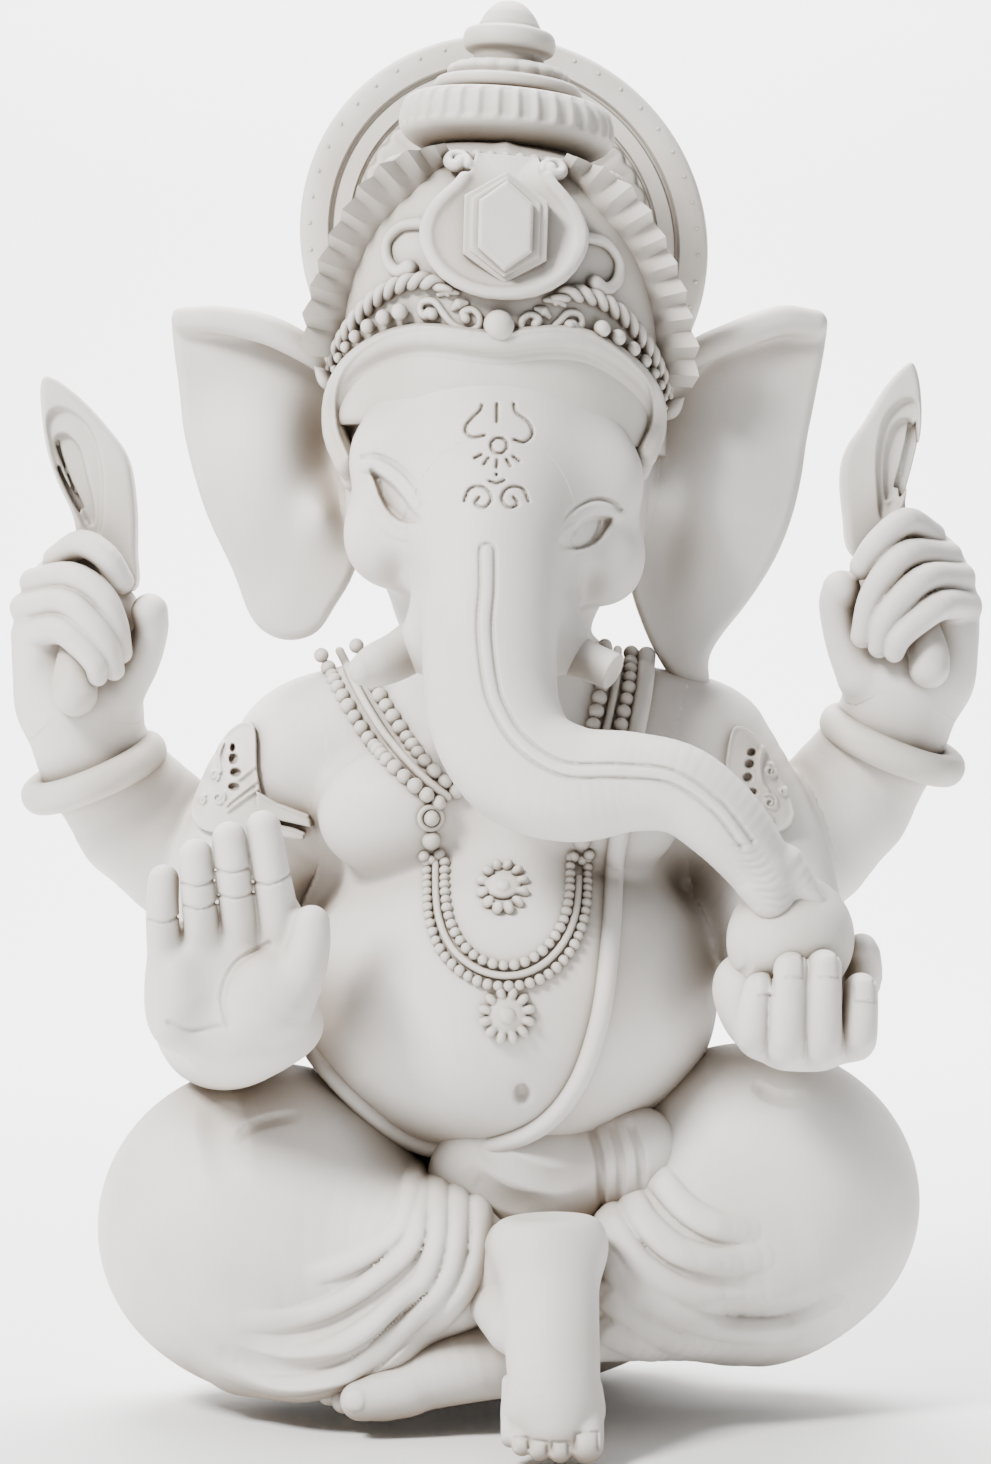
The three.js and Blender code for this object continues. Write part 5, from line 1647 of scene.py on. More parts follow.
LEFT_BLADE = Blade(
    outline=((89.2, 220.2), (87, 219.6), (83, 215), (79.2, 208.6), (75.2, 202.6), (73.8, 196.6), (74.4, 188),
             (76, 180), (84, 176), (88, 182), (87.4, 191), (89.4, 199.6), (90.8, 206.8), (90.6, 215)),
    steps=(((89.6, 211.6), (86.6, 212.4), (83, 208.6), (81.4, 201), (81.6, 192), (82.6, 187), (86, 190.4),
            (88.4, 197.6), (89.8, 204)),
           ((88.9, 207.4), (86.2, 208.2), (84, 205), (83, 199), (83.4, 191.4), (85.6, 194), (87.8, 200))),
    slot=((88.4, 199.6), (86, 193.8), (83.6, 188.6)),
    stem=((91.4, -11.5, 155.2, 4.3), (91.2, -10, 159, 4.3), (88, -4, 171, 4), (84, 0, 187, 3.6)),
)


class Held:
    """The blades and the sweet."""

    sweet: tuple[Row, float] = ((57.8, -60.5, 100.4), 12.3)

    def build(self, shop: Workshop) -> None:
        """Makes the pieces held in the hands."""
        shop.sculpt("right_blade", RIGHT_BLADE.form, 0.34, Slot.ORNAMENT)
        shop.sculpt("left_blade", LEFT_BLADE.form, 0.34, Slot.ORNAMENT)
        (x, y, z), radius = self.sweet
        ball = ellipsoid((x, y, z), (radius, radius * 0.98, radius * 0.97))
        ball = ball.joined(ellipsoid((x + 1, y + 1.5, z + 1.8), (radius * 0.9, radius * 0.9,
                                                                 radius * 0.92)), 3)
        seam = Folds((fading([(x - 11.2, z - 7), (x - 8.6, z - 4.6), (x - 9.4, z - 1)], 0, 0),), 1.0, -0.3, 1)
        shop.sculpt("sweet_ball", ball.lifted(on_front([seam], front_plane, -60)), 0.45, Slot.ORNAMENT)


class Tusks:
    """The whole tusk on the right and the broken one on the left."""

    def build(self, shop: Workshop) -> None:
        """Makes both tusks."""
        whole_tusk = limb([(-15.5, -38, 160, 5.2), (-19.6, -41, 157.2, 4.9), (-23.6, -44, 155.3, 4.5),
                           (-26.4, -46, 154.2, 3.2)], 6)
        shop.sculpt("right_tusk", whole_tusk, 0.35, Slot.ORNAMENT)
        stump = limb([(12.5, -37, 159, 4.8), (16.5, -41, 157, 4.3), (20.6, -44, 155.2, 3.9), (23.4, -46,
                                                                                              154, 3.8)], 6)
        cut = ellipsoid((27.4, -48, 151.8), (5.4, 6, 6), (0, 30, 0))
        facet = ellipsoid((22.6, -53.2, 160.4), (6, 5.2, 4.4), (20, 20, 0))
        shop.sculpt("left_tusk", stump.carved(cut, 0.5).carved(facet, 0.4), 0.3, Slot.ORNAMENT)


class Necklaces:
    """Bead strands, cords, medallions and pendants on the chest, and the sacred thread."""

    collar: tuple[Row, ...] = ((-37, 158), (-32.5, 150), (-26.5, 140.5), (-20, 133.9), (-15, 129.6),
                               (-11.6, 127.2))
    inner_collar: tuple[Row, ...] = ((-29.5, 160), (-25.4, 151.5), (-19.4, 142), (-14.4, 135.5),
                                     (-10.2, 131.4), (-8, 129.6))
    collar_left: tuple[Row, ...] = ((20.5, 126), (23, 132.5), (25, 139), (26.6, 145.5), (27.9, 151),
                                    (28.9, 158.5))
    inner_left: tuple[Row, ...] = ((14.6, 127), (17.6, 134), (19.8, 141.5), (21.4, 148), (22.4, 153),
                                   (23.2, 160))
    long: tuple[Row, ...] = (
        (-14, 115), (-13.9, 110), (-13.4, 104), (-11.2, 98.2), (-7.4, 94.2), (-2.4, 91.6), (3.3, 91),
        (9, 92.4), (13.6, 96), (16.8, 101), (18.4, 107), (19, 116)
    )
    inner: tuple[Row, ...] = (
        (-10.4, 115), (-10.3, 109.5), (-9.4, 104.4), (-7.4, 100.2), (-4.2, 97), (0, 95.3), (4, 95.2),
        (8, 96.8), (11.4, 100), (13.8, 104), (15, 109), (15.4, 116)
    )
    thread: tuple[Row, ...] = (
        (32.2, 158), (31.6, 153.5), (30.4, 147), (28.8, 140), (26.8, 130), (24.8, 118), (23.2, 100),
        (20.6, 83), (15.6, 69.4), (7, 60.4), (-8.1, 55.7), (-17.7, 57.2), (-27.3, 64.4), (-39, 75.6)
    )

    scallops: int = 12
    farthest: float = 20.0  # a line of sight that goes on past this y has missed the torso

    def __init__(self, torso: Form) -> None:
        """Keeps the torso that everything lies on."""
        self.torso = torso

    def _laid(self, points: Array, proud: float) -> Array:
        """Places on the front of the torso, at x and z, a little proud of it."""
        depth = front_of(self.torso, points[:, 0], points[:, 1])
        met = depth < self.farthest
        order = np.arange(len(depth))
        depth = np.interp(order, order[met], depth[met])
        return np.column_stack([points[:, 0], depth - proud, points[:, 1]])

    def _cord(self, stations: Sequence[Row], radius: float, sink: float = 0.35) -> Shell:
        """A smooth cord laid on the torso."""
        rough = self._laid(spline(stations, 8), radius * (1 - sink))
        path = spline(evenly(rough, 4.0), 4)
        return swept(path, np.full(len(path), radius), 14)

    def _strand(self, stations: Sequence[Row], radius: float) -> Shell:
        """Round beads in a row, laid on the torso."""
        path = self._laid(spline(stations, 10), radius * 0.55)
        centres = evenly(path, radius * 1.92)
        sizes = radius * (1 + 0.05 * np.sin(np.arange(len(centres)) * 2.4))
        thread = swept(path, np.full(len(path), radius * 0.35), 6)
        return together([beads(centres, sizes), thread])

    def build(self, shop: Workshop) -> None:
        """Makes all that is worn on the chest."""
        strands = [self._strand(s, 1.6) for s in (self.collar, self.inner_collar)]
        strands += [self._strand(s, 1.65) for s in (self.collar_left, self.inner_left)]
        shop.add("collar_beads", together(strands), Slot.ORNAMENT)
        cords = []
        for outer, inner in ((self.collar, self.inner_collar), (self.collar_left, self.inner_left)):
            middle = (spline(outer, 8)[:: 4] + self._matched(outer, inner)) / 2
            cords.append(self._cord(middle, 0.95))
        shop.add("collar_cord", together(cords), Slot.ORNAMENT)
        shop.add("right_drop", self._drop(-13.1), Slot.ORNAMENT)
        shop.add("left_drop", self._drop(17.6), Slot.ORNAMENT)
        beads_pair = [self._strand(self.long, 1.12), self._strand(self.inner, 1.12)]
        shop.add("long_beads", together(beads_pair), Slot.ORNAMENT)
        middle = (spline(self.long, 4) + spline(self.inner, 4)) / 2
        shop.add("long_cord", self._cord(middle[::3], 0.8), Slot.ORNAMENT)
        shop.add("sacred_thread", self._cord(self.thread, 2.0, 0.3), Slot.CLOTH)
        shop.sculpt("upper_pendant", self._pendant(1.5, 110.4, 5.5), 0.25, Slot.ORNAMENT)
        shop.sculpt("lower_pendant", self._pendant(2.3, 85.2, 5.8), 0.25, Slot.ORNAMENT)

    @staticmethod
    def _matched(outer: Sequence[Row], inner: Sequence[Row]) -> Array:
        """The inner path with as many rows as the outer one's every fourth."""
        wanted = len(spline(outer, 8)[:: 4])
        path = spline(inner, 8)
        index = np.linspace(0, len(path) - 1, wanted)
        return np.column_stack([np.interp(index, np.arange(len(path)), column) for column in path.T])

    def _drop(self, x: float) -> Shell:
        """A ringed medallion with one large bead and three small ones under it."""
        spots = np.array([(x, 124.1), (x, 119.5), (x - 1.5, 116.2), (x + 1.6, 116.6), (x + 0.1, 115.4)])
        sizes = np.array([1.7, 2.0, 1.25, 1.25, 1.1])
        places = self._laid(spots, 0.8)
        angles = np.linspace(0, 2 * np.pi, 25)[:-1]
        ring = self._laid(spots[0] + 2.3 * np.column_stack([np.cos(angles), np.sin(angles)]), 0.7)
        rings = []
        for i, place in enumerate(ring):
            out = place - places[0]
            out /= np.linalg.norm(out)
            turn = 2 * np.pi * np.arange(8) / 8
            rings.append(place + 0.62 * (np.cos(turn)[:, None] * out + np.sin(turn)[:, None] * np.array([0,
                                                                                                         -1,
                                                                                                         0])))
        return together([beads(places, sizes), ringed(np.array(rings), closed=True)])

    def _pendant(self, x: float, z: float, radius: float) -> Form:
        """A scalloped flower about a broad flat disc with a round middle."""
        depth = float(front_of(self.torso, np.array([x]), np.array([z]))[0])
        slope = float(front_of(self.torso, np.array([x]), np.array([z + 4]))[0]) - depth
        tilt = math.degrees(math.atan2(slope, 4))
        petals = []
        for i in range(self.scallops):
            angle = 2 * np.pi * (i + 0.5) / self.scallops
            reach = radius * 0.76
            up = reach * math.sin(angle)
            at = (x + reach * math.cos(angle), depth - 0.4 + up * slope / 4, z + up)
            petals.append(ellipsoid(at, (radius * 0.25, 1.2, radius * 0.17), (-tilt, -math.degrees(angle),
                                                                              0)))
        flower = whole(petals, 0.15)
        disc = ellipsoid((x, depth - 0.2, z), (radius * 0.66, 1.5, radius * 0.66), (-tilt, 0, 0))
        boss = ellipsoid((x, depth - 1.5, z), (radius * 0.3, 1.2, radius * 0.3), (-tilt, 0, 0))
        return flower.joined(disc, 0.2).joined(boss, 0.2)


# ---------------------------------------------------------------- crown and halo


@dataclass(frozen=True)
class Dome:
    """The crown's body, in the head's frame."""

    foot: float = 8.0
    rise: float = 64.0
    radius: float = 35.8

    def radius_at(self, height: Array) -> Array:
        """Radius of the dome at a height."""
        share = np.clip((height - self.foot) / self.rise, 0, 1)
        return self.radius * np.sqrt(1 - share**5)

    def front(self, x: Array, height: Array) -> Array:
        """Depth of the dome's front."""
        return CROWN_AXIS - np.sqrt(np.maximum(self.radius_at(height) ** 2 - np.asarray(x) ** 2, 0))

    def laid(self, points: Array, proud: float | Array) -> Array:
        """Places on the dome's front at x and height, proud of it."""
        depth = self.front(points[:, 0], points[:, 1])
        out = np.column_stack([points[:, 0], depth - CROWN_AXIS])
        out /= np.linalg.norm(out, axis=1)[:, None]
        lift = out * np.asarray(proud, float).reshape(-1, 1)
        return np.column_stack([points[:, 0] + lift[:, 0], depth + lift[:, 1], points[:, 1]])

    def away(self, points: Array) -> Array:
        """Rough distance of points of the head's frame from the dome's side."""
        reach = np.hypot(points[:, 0], points[:, 1] - CROWN_AXIS)
        return reach - self.radius_at(points[:, 2])


DOME = Dome()


class Crown:
    """The crown's front: band, jewel, scrolls, pearls, ropes and pleated fans."""

    band: tuple[Row, ...] = (
        (-30.4, 197), (-33.2, 204), (-33.1, 211.6), (-29.6, 217.2), (-22.8, 221), (-15.1, 222.3), (-5.4, 221),
        (0.9, 220.4), (10.4, 221.6), (18.7, 221), (26.8, 216.8), (31.9, 211.4), (32.7, 205), (30.6, 199),
    )
    lyre: tuple[Row, ...] = (
        (-6, 66), (-7, 60.5), (-8.6, 57.2), (-12.4, 53), (-14.6, 48.3), (-14.1, 43.2), (-10.8, 38.4),
        (-5.6, 35.6), (0.2, 35), (6, 36.2), (11.1, 39.6), (14.2, 44.6), (14.9, 49.5), (12.8, 54.4),
        (9, 58.8), (7.4, 62), (6.6, 66)
    )
    inner_fan: tuple[Row, ...] = (
        (-33.8, 22), (-32.6, 30), (-31.6, 36), (-29.2, 42.8), (-25.6, 48.9), (-18.9, 55.7), (-14.6, 60.4),
        (-10.6, 63.4),
    )
    outer_fan: tuple[Row, ...] = (
        (-40.4, 22), (-40.4, 28.5), (-39.2, 34.8), (-36.4, 43.4), (-31.9, 52), (-25.9, 59.3), (-19.4, 63.6),
        (-12.6, 66.4),
    )
    pleats: int = 10
    pearls: tuple[Row, ...] = (
        (19.4, 29.6, 1.75), (22.6, 28.4, 1.68), (25.8, 26.7, 1.55), (28.5, 24.8, 1.38), (30.6, 22.8, 1.22),
        (32.2, 20.8, 1.12), (33.3, 18.6, 0.92), (33.9, 16.6, 0.7)
    )
    rope: tuple[Row, ...] = (
        (34.6, 20), (33.4, 23.4), (31.2, 26.6), (28.6, 30), (25.4, 33.2), (21.6, 35.6), (17.6, 36.9),
        (13.2, 36.8), (10.4, 35)
    )
    side_scroll: tuple[Row, ...] = (
        (14.8, 48.6), (17.6, 48.9), (20.9, 48.2), (23.4, 45.2), (23.1, 41.2), (20.8, 38.8), (18.4, 39.6)
    )
    brow_scroll: tuple[Row, ...] = (
        (14.2, 30.4), (15.4, 30), (16.3, 31.2), (15.6, 32.8), (13.4, 32.8), (11.6, 30.6), (9.4, 28.2),
        (6.4, 27.2), (4.4, 28.2), (4.3, 30.3), (5.8, 31.6), (7.4, 30.9), (7, 29.6)
    )
    jewel_height: float = 48.5

    def build(self, shop: Workshop) -> None:
        """Makes the pieces of the crown's front."""
        shop.add("crown_dome", self._dome().moved(from_head), Slot.ORNAMENT)
        shop.sculpt("brow_band", self._band(), 0.38, Slot.ORNAMENT)
        shop.sculpt("jewel_setting", on_head(self._setting()), 0.3, Slot.ORNAMENT)
        jewel = slab(self._hexagon(5.5, 9.2), -46.2, -41.5, 0.9)
        shop.sculpt("crown_jewel", on_head(jewel), 0.25, Slot.ORNAMENT)
        shop.sculpt("crown_lyre", on_head(self._lyre()), 0.4, Slot.ORNAMENT)
        pearl = DOME.laid(np.array([(-0.3, 28.6)]), 2.0)
        shop.add("brow_pearl", beads(pearl, [3.2], (1, 0.92, 1)).moved(from_head), Slot.ORNAMENT)
        for side, hand in zip(SIDES, ("right", "left")):
            shop.add(f"{hand}_fan", self._fan(side).moved(from_head), Slot.ORNAMENT, 38)
            shop.add(f"{hand}_pearl_row", self._pearls(side).moved(from_head), Slot.ORNAMENT)
            shop.add(f"{hand}_rope", self._rope(side).moved(from_head), Slot.ORNAMENT)
            scroll = self._tube(self.side_scroll, side, (1.35, 1.2, 1.15, 1.3, 1.75))
            shop.add(f"{hand}_side_scroll", scroll.moved(from_head), Slot.ORNAMENT)
            shop.add(f"{hand}_brow_scroll", self._brow_scroll(side).moved(from_head), Slot.ORNAMENT)

    @staticmethod
    def _dome() -> Shell:
        """The dome, with a keel up its front."""
        heights = DOME.foot + DOME.rise * (1 - (1 - np.linspace(0, 1, 60)) ** 1.7)
        profile = [(DOME.radius - 3, DOME.foot), *zip(DOME.radius_at(heights), heights)]
        base = [(0.02, DOME.foot + 3), (DOME.radius - 6, DOME.foot + 3)]

        def keel(angles: Array, shares: Array) -> Array:
            off = np.abs(np.angle(np.exp(1j * (angles + np.pi / 2))))
            return 1.6 * smooth_step(shares, 0.72, 0.8) * np.maximum(1 - off / 0.16, 0) ** 1.2

        count, height = 52, 64.5
        angles = 2 * np.pi * np.arange(count) / count
        reach = float(DOME.radius_at(height)) + 0.3
        ring = np.column_stack([reach * np.cos(angles), reach * np.sin(angles), np.full(count, height)])
        shell = together([turned_about(np.array(base + profile), 160, keel), beads(ring, np.full(count, 1.4))])
        return shell.moved(lambda points: points + np.array([0, CROWN_AXIS, 0]))

    def _band(self) -> Form:
        """The band across the brow, with a lower step that stands over the forehead."""
        line = spline(self.band, 3)
        flat = to_head(np.column_stack([line[:, 0], np.zeros(len(line)), line[:, 1]]))[:, [0, 2]]
        places = from_head(DOME.laid(np.clip(flat, -34.6, 60), 0.4))
        upper = limb(np.column_stack([places, np.full(len(places), 2.5)]), 1)
        lower_places = places + np.array([0, 2.4, -3.0])
        lower_places[:, 0] *= 0.955
        lower = limb(np.column_stack([lower_places, np.full(len(places), 2.5)]), 1)
        deep_places = places + np.array([0, 7, -1.5])
        deep_places[:, 0] *= 0.94
        deep = limb(np.column_stack([deep_places, np.full(len(places), 3.6)]), 1)
        band = upper.joined(lower, 0.8).joined(deep, 1)
        ridge = Strokes((line + [0, 1.4],), 0.8, 0.5)
        return band.lifted(on_front([ridge], front_plane, 0), 0.5)

    def _hexagon(self, half_width: float, half_height: float) -> Array:
        """An upright hexagon at the jewel's height."""
        shoulder = half_height * 0.52
        corners = [(0, -half_height), (half_width, -shoulder), (half_width, shoulder), (0, half_height),
                   (-half_width, shoulder), (-half_width, -shoulder)]
        return np.array([(x + 0.4, z + self.jewel_height) for x, z in corners])

    def _setting(self) -> Form:
        """The stepped seat of the jewel."""
        setting = slab(self._hexagon(8.5, 11.4), -43.4, -35, 0.35)
        return setting.joined(slab(self._hexagon(7.0, 10.2), -44.1, -36, 0.3))

    def _lyre(self) -> Form:
        """The lyre-shaped frame: a crest that falls away inwards to the jewel."""
        outline = plain(self.lyre, 4)
        ridge = DOME.laid(outline[6:-6], 2.8)
        crest = limb(np.column_stack([ridge, np.full(len(ridge), 1.25)])[::2], 1)

        def distance(points: Array) -> Array:
            across = from_outline(points[:, [0, 2]], outline)
            away = DOME.away(points)
            height = 3.4 * np.exp(np.minimum(across, 0) / 4.2)
            front = np.maximum(points[:, 1] + 14, points[:, 2] - 65)
            return np.maximum.reduce([away - height, -away - 2.5, across, front]) * 0.8

        low = np.array([outline[:, 0].min(), -44.5, outline[:, 1].min()])
        high = np.array([outline[:, 0].max(), -18.0, 66.0])
        lyre = Form(distance, low, high).joined(crest, 1.2)
        for side in SIDES:
            rings = curl((side * 9.0, 62.4), 2.3, 200 if side > 0 else -20, -side * 1.1, 0.3)
            places = DOME.laid(rings, 3.2)
            tube = np.linspace(0.9, 1.3, len(places))
            lyre = lyre.joined(limb(np.column_stack([places, tube]), 1), 0.4)
        return lyre

    def _tube(self, points: Sequence[Row], side: int, radii: Row) -> Shell:
        """A moulding laid on the dome."""
        line = spline(mirrored(points, side), 6)
        widths = np.interp(np.linspace(0, 1, len(line)), np.linspace(0, 1, len(radii)), radii)
        return swept(DOME.laid(line, widths * 0.55), widths, 12)

    def _brow_scroll(self, side: int) -> Shell:
        """An S-shaped scroll with two small leaves over it."""
        scroll = self._tube(self.brow_scroll, side, (1.25, 0.75, 0.8, 0.85, 0.8, 0.75, 1.1))
        leaves = []
        for points in (((9.6, 31.6), (8.4, 32.6), (7, 32.9)), ((12.6, 34.4), (10.8, 35.2), (8.8, 34.9))):
            leaves.append(self._tube(points, side, (0.6, 1.15, 0.6)))
        eye = DOME.laid(np.array([(side * 13.6, 30.2)]), 0.9)
        return together([scroll, *leaves, beads(eye, [1.3])])

    def _pearls(self, side: int) -> Shell:
        """Pearls that grow towards the brow."""
        rows = np.array(mirrored(self.pearls, side))
        rows[:, 1] += 0.8
        return beads(DOME.laid(rows[:, :2], rows[:, 2] * 1.3), rows[:, 2])

    def _rope(self, side: int) -> Shell:
        """Two strands twisted together."""
        line = evenly(DOME.laid(spline(mirrored(self.rope, side), 8), 1.0), 0.35)
        along = np.gradient(line, axis=0)
        along /= np.linalg.norm(along, axis=1)[:, None]
        first = np.cross(along, [0.0, 0.0, 1.0])
        first /= np.linalg.norm(first, axis=1)[:, None]
        second = np.cross(along, first)
        swell = np.interp(np.linspace(0, 1, len(line)), [0, 0.3, 0.9, 1], [0.55, 1, 1.05, 0.7])
        strands = []
        turns = 2 * np.pi * np.arange(len(line)) * 0.35 / 6.4
        for phase in (0, np.pi):
            angle = side * turns + phase
            out = np.cos(angle)[:, None] * first + np.sin(angle)[:, None] * second
            strands.append(swept(line + 0.86 * swell[:, None] * out, 1.03 * swell, 9))
        return together(strands)

    def _fan(self, side: int) -> Shell:
        """The pleated wall that flares from the dome to a pointed rim."""
        steps, rows = self.pleats * 8 + 1, 7
        inner, outer = (evenly(spline(mirrored(path, side), 10), 0.1) for path in (self.inner_fan,
                                                                                   self.outer_fan))
        index = np.linspace(0, 1, steps)
        inner, outer = (
            np.column_stack([np.interp(index, np.linspace(0, 1, len(p)), c) for c in p.T]) for p in (inner,
                                                                                                     outer)
        )
        phase = (index * self.pleats) % 1
        peak = 1 - 2 * np.abs(phase - 0.5)
        foot = DOME.laid(inner, -0.4)
        lean = np.interp(index, [0, 0.6, 1], [-2.0, -3.6, -3.0])
        rim = np.column_stack([outer[:, 0], foot[:, 1] + lean, outer[:, 1]])
        across = rim - foot
        along = np.gradient(foot, axis=0)
        facing = np.cross(along, across)
        facing /= np.linalg.norm(facing, axis=1)[:, None] * np.sign(-facing[:, 1:2])
        sections = []
        shares = np.linspace(0, 1, rows)
        fine = 0.09 * np.sin(index * self.pleats * 2 * np.pi * 4)
        for share in shares:
            stretch = share * (1 + 0.22 * peak * share)
            sections.append(foot + across * stretch[:,
                                                    None] + facing * ((peak * 2.6 + fine) * share**0.8)[:,
                                                                                                        None])
        back = [section + np.array([0, 2.2, 0]) - facing * 0.3 for section in reversed(sections)]
        rings = np.array(sections + back).transpose(1, 0, 2)
        wall = ringed(rings if side < 0 else rings[:, ::-1])
        leaves = []
        for u, w, size, turn in ((35.6, 21.5, 3.2, 25), (36.6, 17.5, 3.4, 40), (34.6, 15, 2.9, 10)):
            tip = np.array([side * (u + size * math.sin(math.radians(turn))), -14.0,
                            w + size * math.cos(math.radians(turn))])
            root = np.array([side * (u - 2.2), -13.0, w - 1.6])
            path = np.linspace(root, tip, 9)
            leaves.append(swept(path, size * 0.6 * np.sin(np.linspace(0.6, np.pi - 0.12, 9)), 10))
        return together([wall, *leaves])


class CrownTop:
    """The ribbed disc, the cap and the finial, turned about the crown's axis."""

    ribs: int = 34
    disc_stand: float = 69.0
    cap_stand: float = 82.4
    finial_stand: float = 87.3

    def build(self, shop: Workshop) -> None:
        """Makes the three storeys."""
        disc = spline(((14, 0), (18, 0.6), (21.4, 2.4), (22.7, 4.4), (22.9, 6), (22.6, 8), (21.8, 10),
                       (20.2, 11.2),
                       (17, 11.6), (14, 11.4)), 5)
        shop.add("crown_disc", self._turned(disc, self.disc_stand, 340, self._ribs), Slot.ORNAMENT)
        cap = spline(((13.5, -1.6), (15.4, -1), (15.8, 0.4), (15, 1.8), (12.6, 2.2), (12.7, 3.8), (11.2, 5.2),
                      (8, 5.6)), 6)
        shop.add("crown_cap", self._turned(cap, self.cap_stand, 180, self._leaves), Slot.ORNAMENT)
        finial = spline(((7.6, -0.6), (7.4, 1.6), (7.8, 3), (9.4, 3.9), (9.9, 5.8), (9.2, 7.8), (7, 8.5),
                         (6.4, 9.6),
                         (5, 12), (2.8, 14), (0.6, 14.7)), 6)
        shop.add("crown_finial", self._turned(finial, self.finial_stand, 72, None), Slot.ORNAMENT)

    def _ribs(self, angles: Array, shares: Array) -> Array:
        """Wide flutes between thin ribs, round the rim only."""
        height = smooth_step(shares, 0.3, 0.4) * (1 - smooth_step(shares, 0.68, 0.8))
        ridge = np.abs(np.cos(angles * self.ribs / 2)) ** 5
        return height * (ridge * 0.9 - 0.8)

    @staticmethod
    def _leaves(angles: Array, shares: Array) -> Array:
        """Small leaves round the collar above the ring."""
        height = smooth_step(shares, 0.5, 0.62)
        return height * 0.45 * np.abs(np.sin(angles * 9))

    @staticmethod
    def _turned(profile: Array, stand: float, sides: int, relief: Callable[[Array, Array],
                                                                           Array] | None) -> Shell:
        """One storey in the figure's frame."""
        closed = np.vstack([[0.02, profile[0, 1]], profile, [0.02, profile[-1, 1]]])
        shell = turned_about(closed, sides, relief)
        return shell.moved(lambda points: from_head(points + np.array([0, CROWN_AXIS, stand])))


class Halo:
    """The round halo behind the crown and its ring of petals, in the head's frame."""

    height: float = 56.0
    front: float = 27.8
    petals: int = 40

    def build(self, shop: Workshop) -> None:
        """Makes the disc and the petals."""
        rings = np.array([
            (0.5, 0), (33.6, 0), (33.9, -0.5), (34.3, -0.5), (34.6, 0.4), (37.8, 0.4), (38.2, -0.4),
            (38.7, -0.4),
            (39.2, 0.9), (41, 1.2), (44, 1.1), (45.1, 0.4), (45.5, -1), (45.2, -3.4), (44, -4.8), (36, -5),
            (0.5, -5),
        ])
        disc = turned_about(rings, 160)
        count, reach = 46, 43.2
        angles = 2 * np.pi * np.arange(count) / count
        dots = np.column_stack([reach * np.cos(angles), reach * np.sin(angles), np.full(count, 1.0)])
        shell = together([disc, beads(dots, np.full(count, 0.5))])
        shop.add("halo_disc", shell.moved(self._faced), Slot.ORNAMENT, 50)
        shop.add("halo_rays", self._rays().moved(self._faced), Slot.ORNAMENT)

    def _faced(self, points: Array) -> Array:
        """Points turned from +Z to face -Y, on the halo's place."""
        return from_head(np.column_stack([points[:, 0], self.front - points[:, 2],
                                          points[:, 1] + self.height]))

    def _rays(self) -> Shell:
        """Petals with hollow middles, from the crown out to the first groove."""
        angles = 2 * np.pi * np.arange(self.petals * 10) / (self.petals * 10)
        wave = np.abs(np.cos(angles * self.petals / 2))
        rings = []
        for share in np.linspace(0, 1, 24):
            reach = 12 + share * (20.6 + 0.9 * (1 - wave**3))
            end = math.sqrt(max(1 - share**8, 0))
            height = 0.5 + 1.0 * end * (1 - 0.62 * (1 - wave)) * min(1, share * 4 + 0.4)
            rings.append(np.column_stack([reach * np.cos(angles), reach * np.sin(angles), height]))
        low = [np.column_stack([r * np.cos(angles), r * np.sin(angles), np.full(len(angles),
                                                                                -0.4)]) for r in (32.4, 12)]
        return ringed(np.array(rings + low), closed=True)


# ---------------------------------------------------------------- studio


@dataclass(frozen=True)
class Softbox:
    """A soft square light aimed at a place."""

    name: str
    at: Row
    target: Row
    width: float
    watts: float
    colour: tuple[float, float, float]

    def build(self) -> None:
        """Adds the light."""
        light = bpy.data.lights.new(self.name, "AREA")
        light.shape = "SQUARE"
        light.size = self.width
        light.energy = self.watts
        light.color = self.colour
        lamp = bpy.data.objects.new(self.name, light)
        lamp.location = self.at
        lamp.rotation_euler = (Vector(self.target) - lamp.location).to_track_quat("-Z", "Y").to_euler()
        bpy.context.scene.collection.objects.link(lamp)


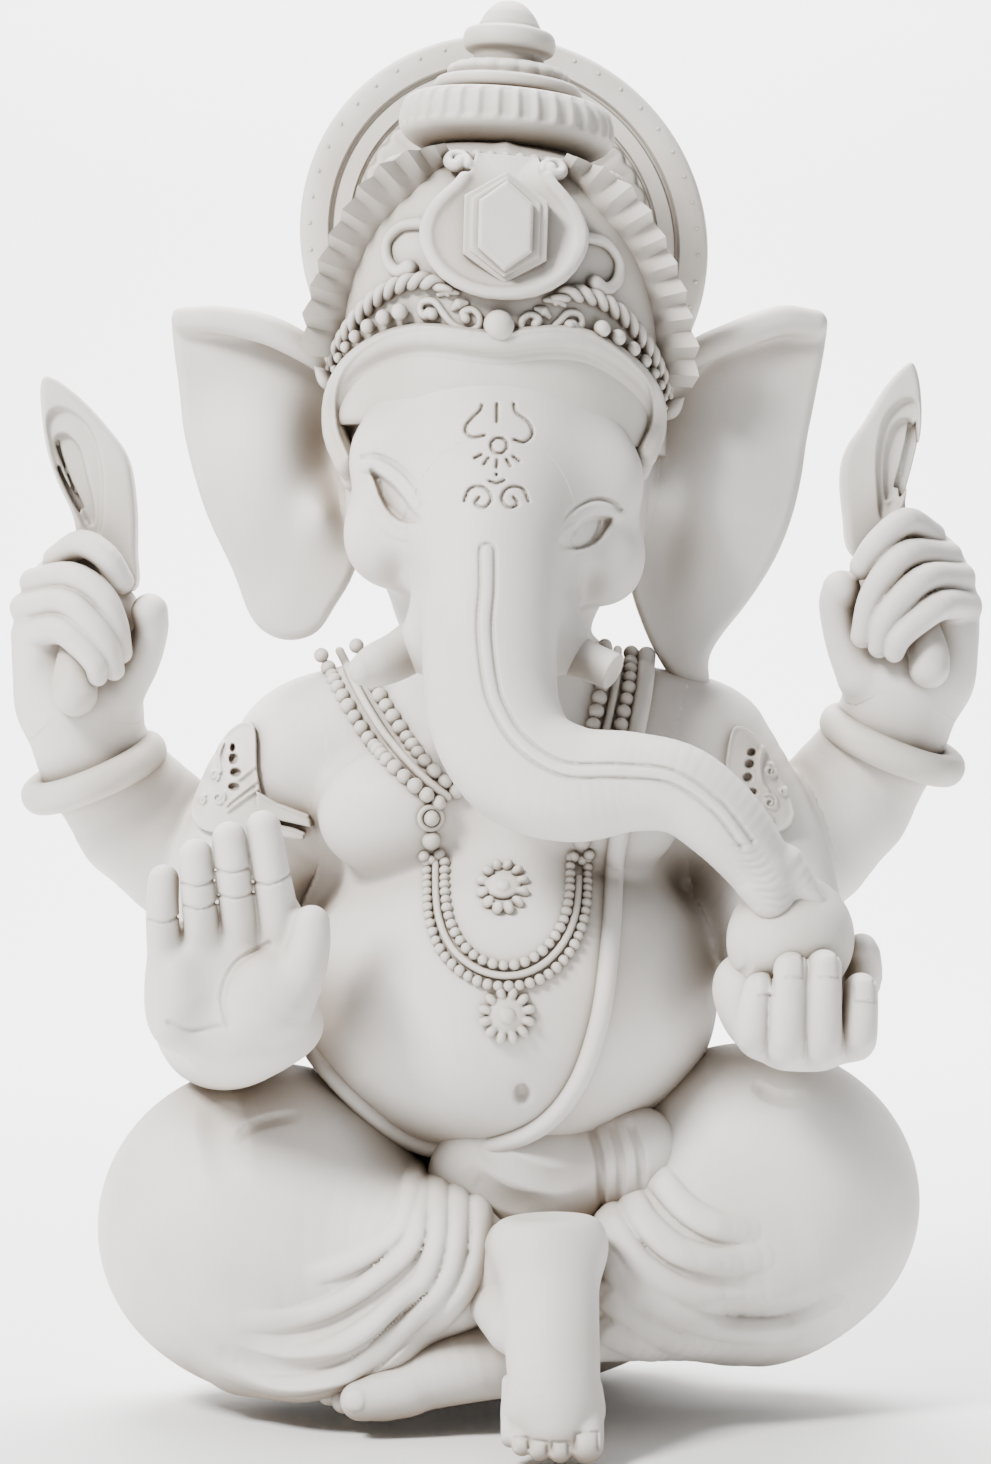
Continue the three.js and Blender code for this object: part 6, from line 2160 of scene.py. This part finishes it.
@dataclass(frozen=True)
class Studio:
    """A pale sweep of paper, soft lights and the camera."""

    paper: tuple[float, float, float] = (0.8, 0.8, 0.8)
    sky: tuple[float, float, float] = (0.93, 0.96, 1.0)
    sky_strength: float = 0.15
    camera_distance: float = 0.75
    camera_height: float = 0.1417
    frame_height: float = 0.3134  # what the camera sees from top to bottom at the spine's plane
    sensor: float = 24.0
    lights: tuple[Softbox, ...] = (
        Softbox("key", (-0.72, -0.68, 1.0), (0, 0.02, 0.16), 0.32, 42, (1.0, 0.985, 0.965)),
        Softbox("top", (0.0, 0.1, 1.1), (0, 0.02, 0.1), 0.5, 6, (0.96, 0.98, 1.0)),
        Softbox("backdrop", (0.0, 0.75, 1.5), (0, 1.6, 0.35), 1.2, 140, (1.0, 1.0, 1.0)),
    )

    def build(self) -> None:
        """Adds the floor, the lights and the camera."""
        self._paper()
        for light in self.lights:
            light.build()
        world = bpy.data.worlds.new("studio_air")
        world.use_nodes = True
        air = world.node_tree.nodes["Background"]
        air.inputs["Color"].default_value = (*self.sky, 1)
        air.inputs["Strength"].default_value = self.sky_strength
        bpy.context.scene.world = world
        self._camera()

    def _paper(self) -> None:
        """A floor that curves up into a wall far behind the figure."""
        near, depth, rise, bend, half_width = -1.6, 1.1, 1.6, 0.5, 2.2
        angles = np.linspace(0, math.pi / 2, 17)
        profile = [(near, 0.0)]
        profile += [(depth + bend * math.sin(a), bend * (1 - math.cos(a))) for a in angles]
        profile.append((depth + bend, rise))
        points = [(x, y, z) for y, z in profile for x in (-half_width, half_width)]
        quads = [(2 * i, 2 * i + 1, 2 * i + 3, 2 * i + 2) for i in range(len(profile) - 1)]
        mesh = bpy.data.meshes.new("paper_sweep")
        mesh.from_pydata(points, [], quads)
        mesh.shade_smooth()
        finish = bpy.data.materials.new("matt_paper")
        finish.use_nodes = True
        shader = finish.node_tree.nodes["Principled BSDF"]
        shader.inputs["Base Color"].default_value = (*self.paper, 1)
        shader.inputs["Roughness"].default_value = 0.95
        shader.inputs["Specular IOR Level"].default_value = 0.1
        mesh.materials.append(finish)
        paper = bpy.data.objects.new("paper_sweep", mesh)
        bpy.context.scene.collection.objects.link(paper)

    def _camera(self) -> None:
        """A level camera in front of the figure."""
        data = bpy.data.cameras.new("studio_camera")
        data.sensor_fit = "VERTICAL"
        data.sensor_height = self.sensor
        data.lens = self.sensor * self.camera_distance / self.frame_height
        camera = bpy.data.objects.new("studio_camera", data)
        camera.location = (0, SETBACK * MM - self.camera_distance, self.camera_height)
        camera.rotation_euler = (math.pi / 2, 0, 0)
        bpy.context.scene.collection.objects.link(camera)
        bpy.context.scene.camera = camera


def main() -> None:
    """Builds every piece on the frame, then the studio round them."""
    logging.basicConfig(level=logging.INFO, format="%(message)s")
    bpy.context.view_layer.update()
    shop = Workshop()
    figure = Figure()
    figure.build(shop)
    ArmWear().build(shop, figure.arms)
    Held().build(shop)
    Tusks().build(shop)
    Necklaces(figure.torso.form).build(shop)
    Crown().build(shop)
    CrownTop().build(shop)
    Halo().build(shop)
    Studio().build()


if __name__ == "__main__":
    main()
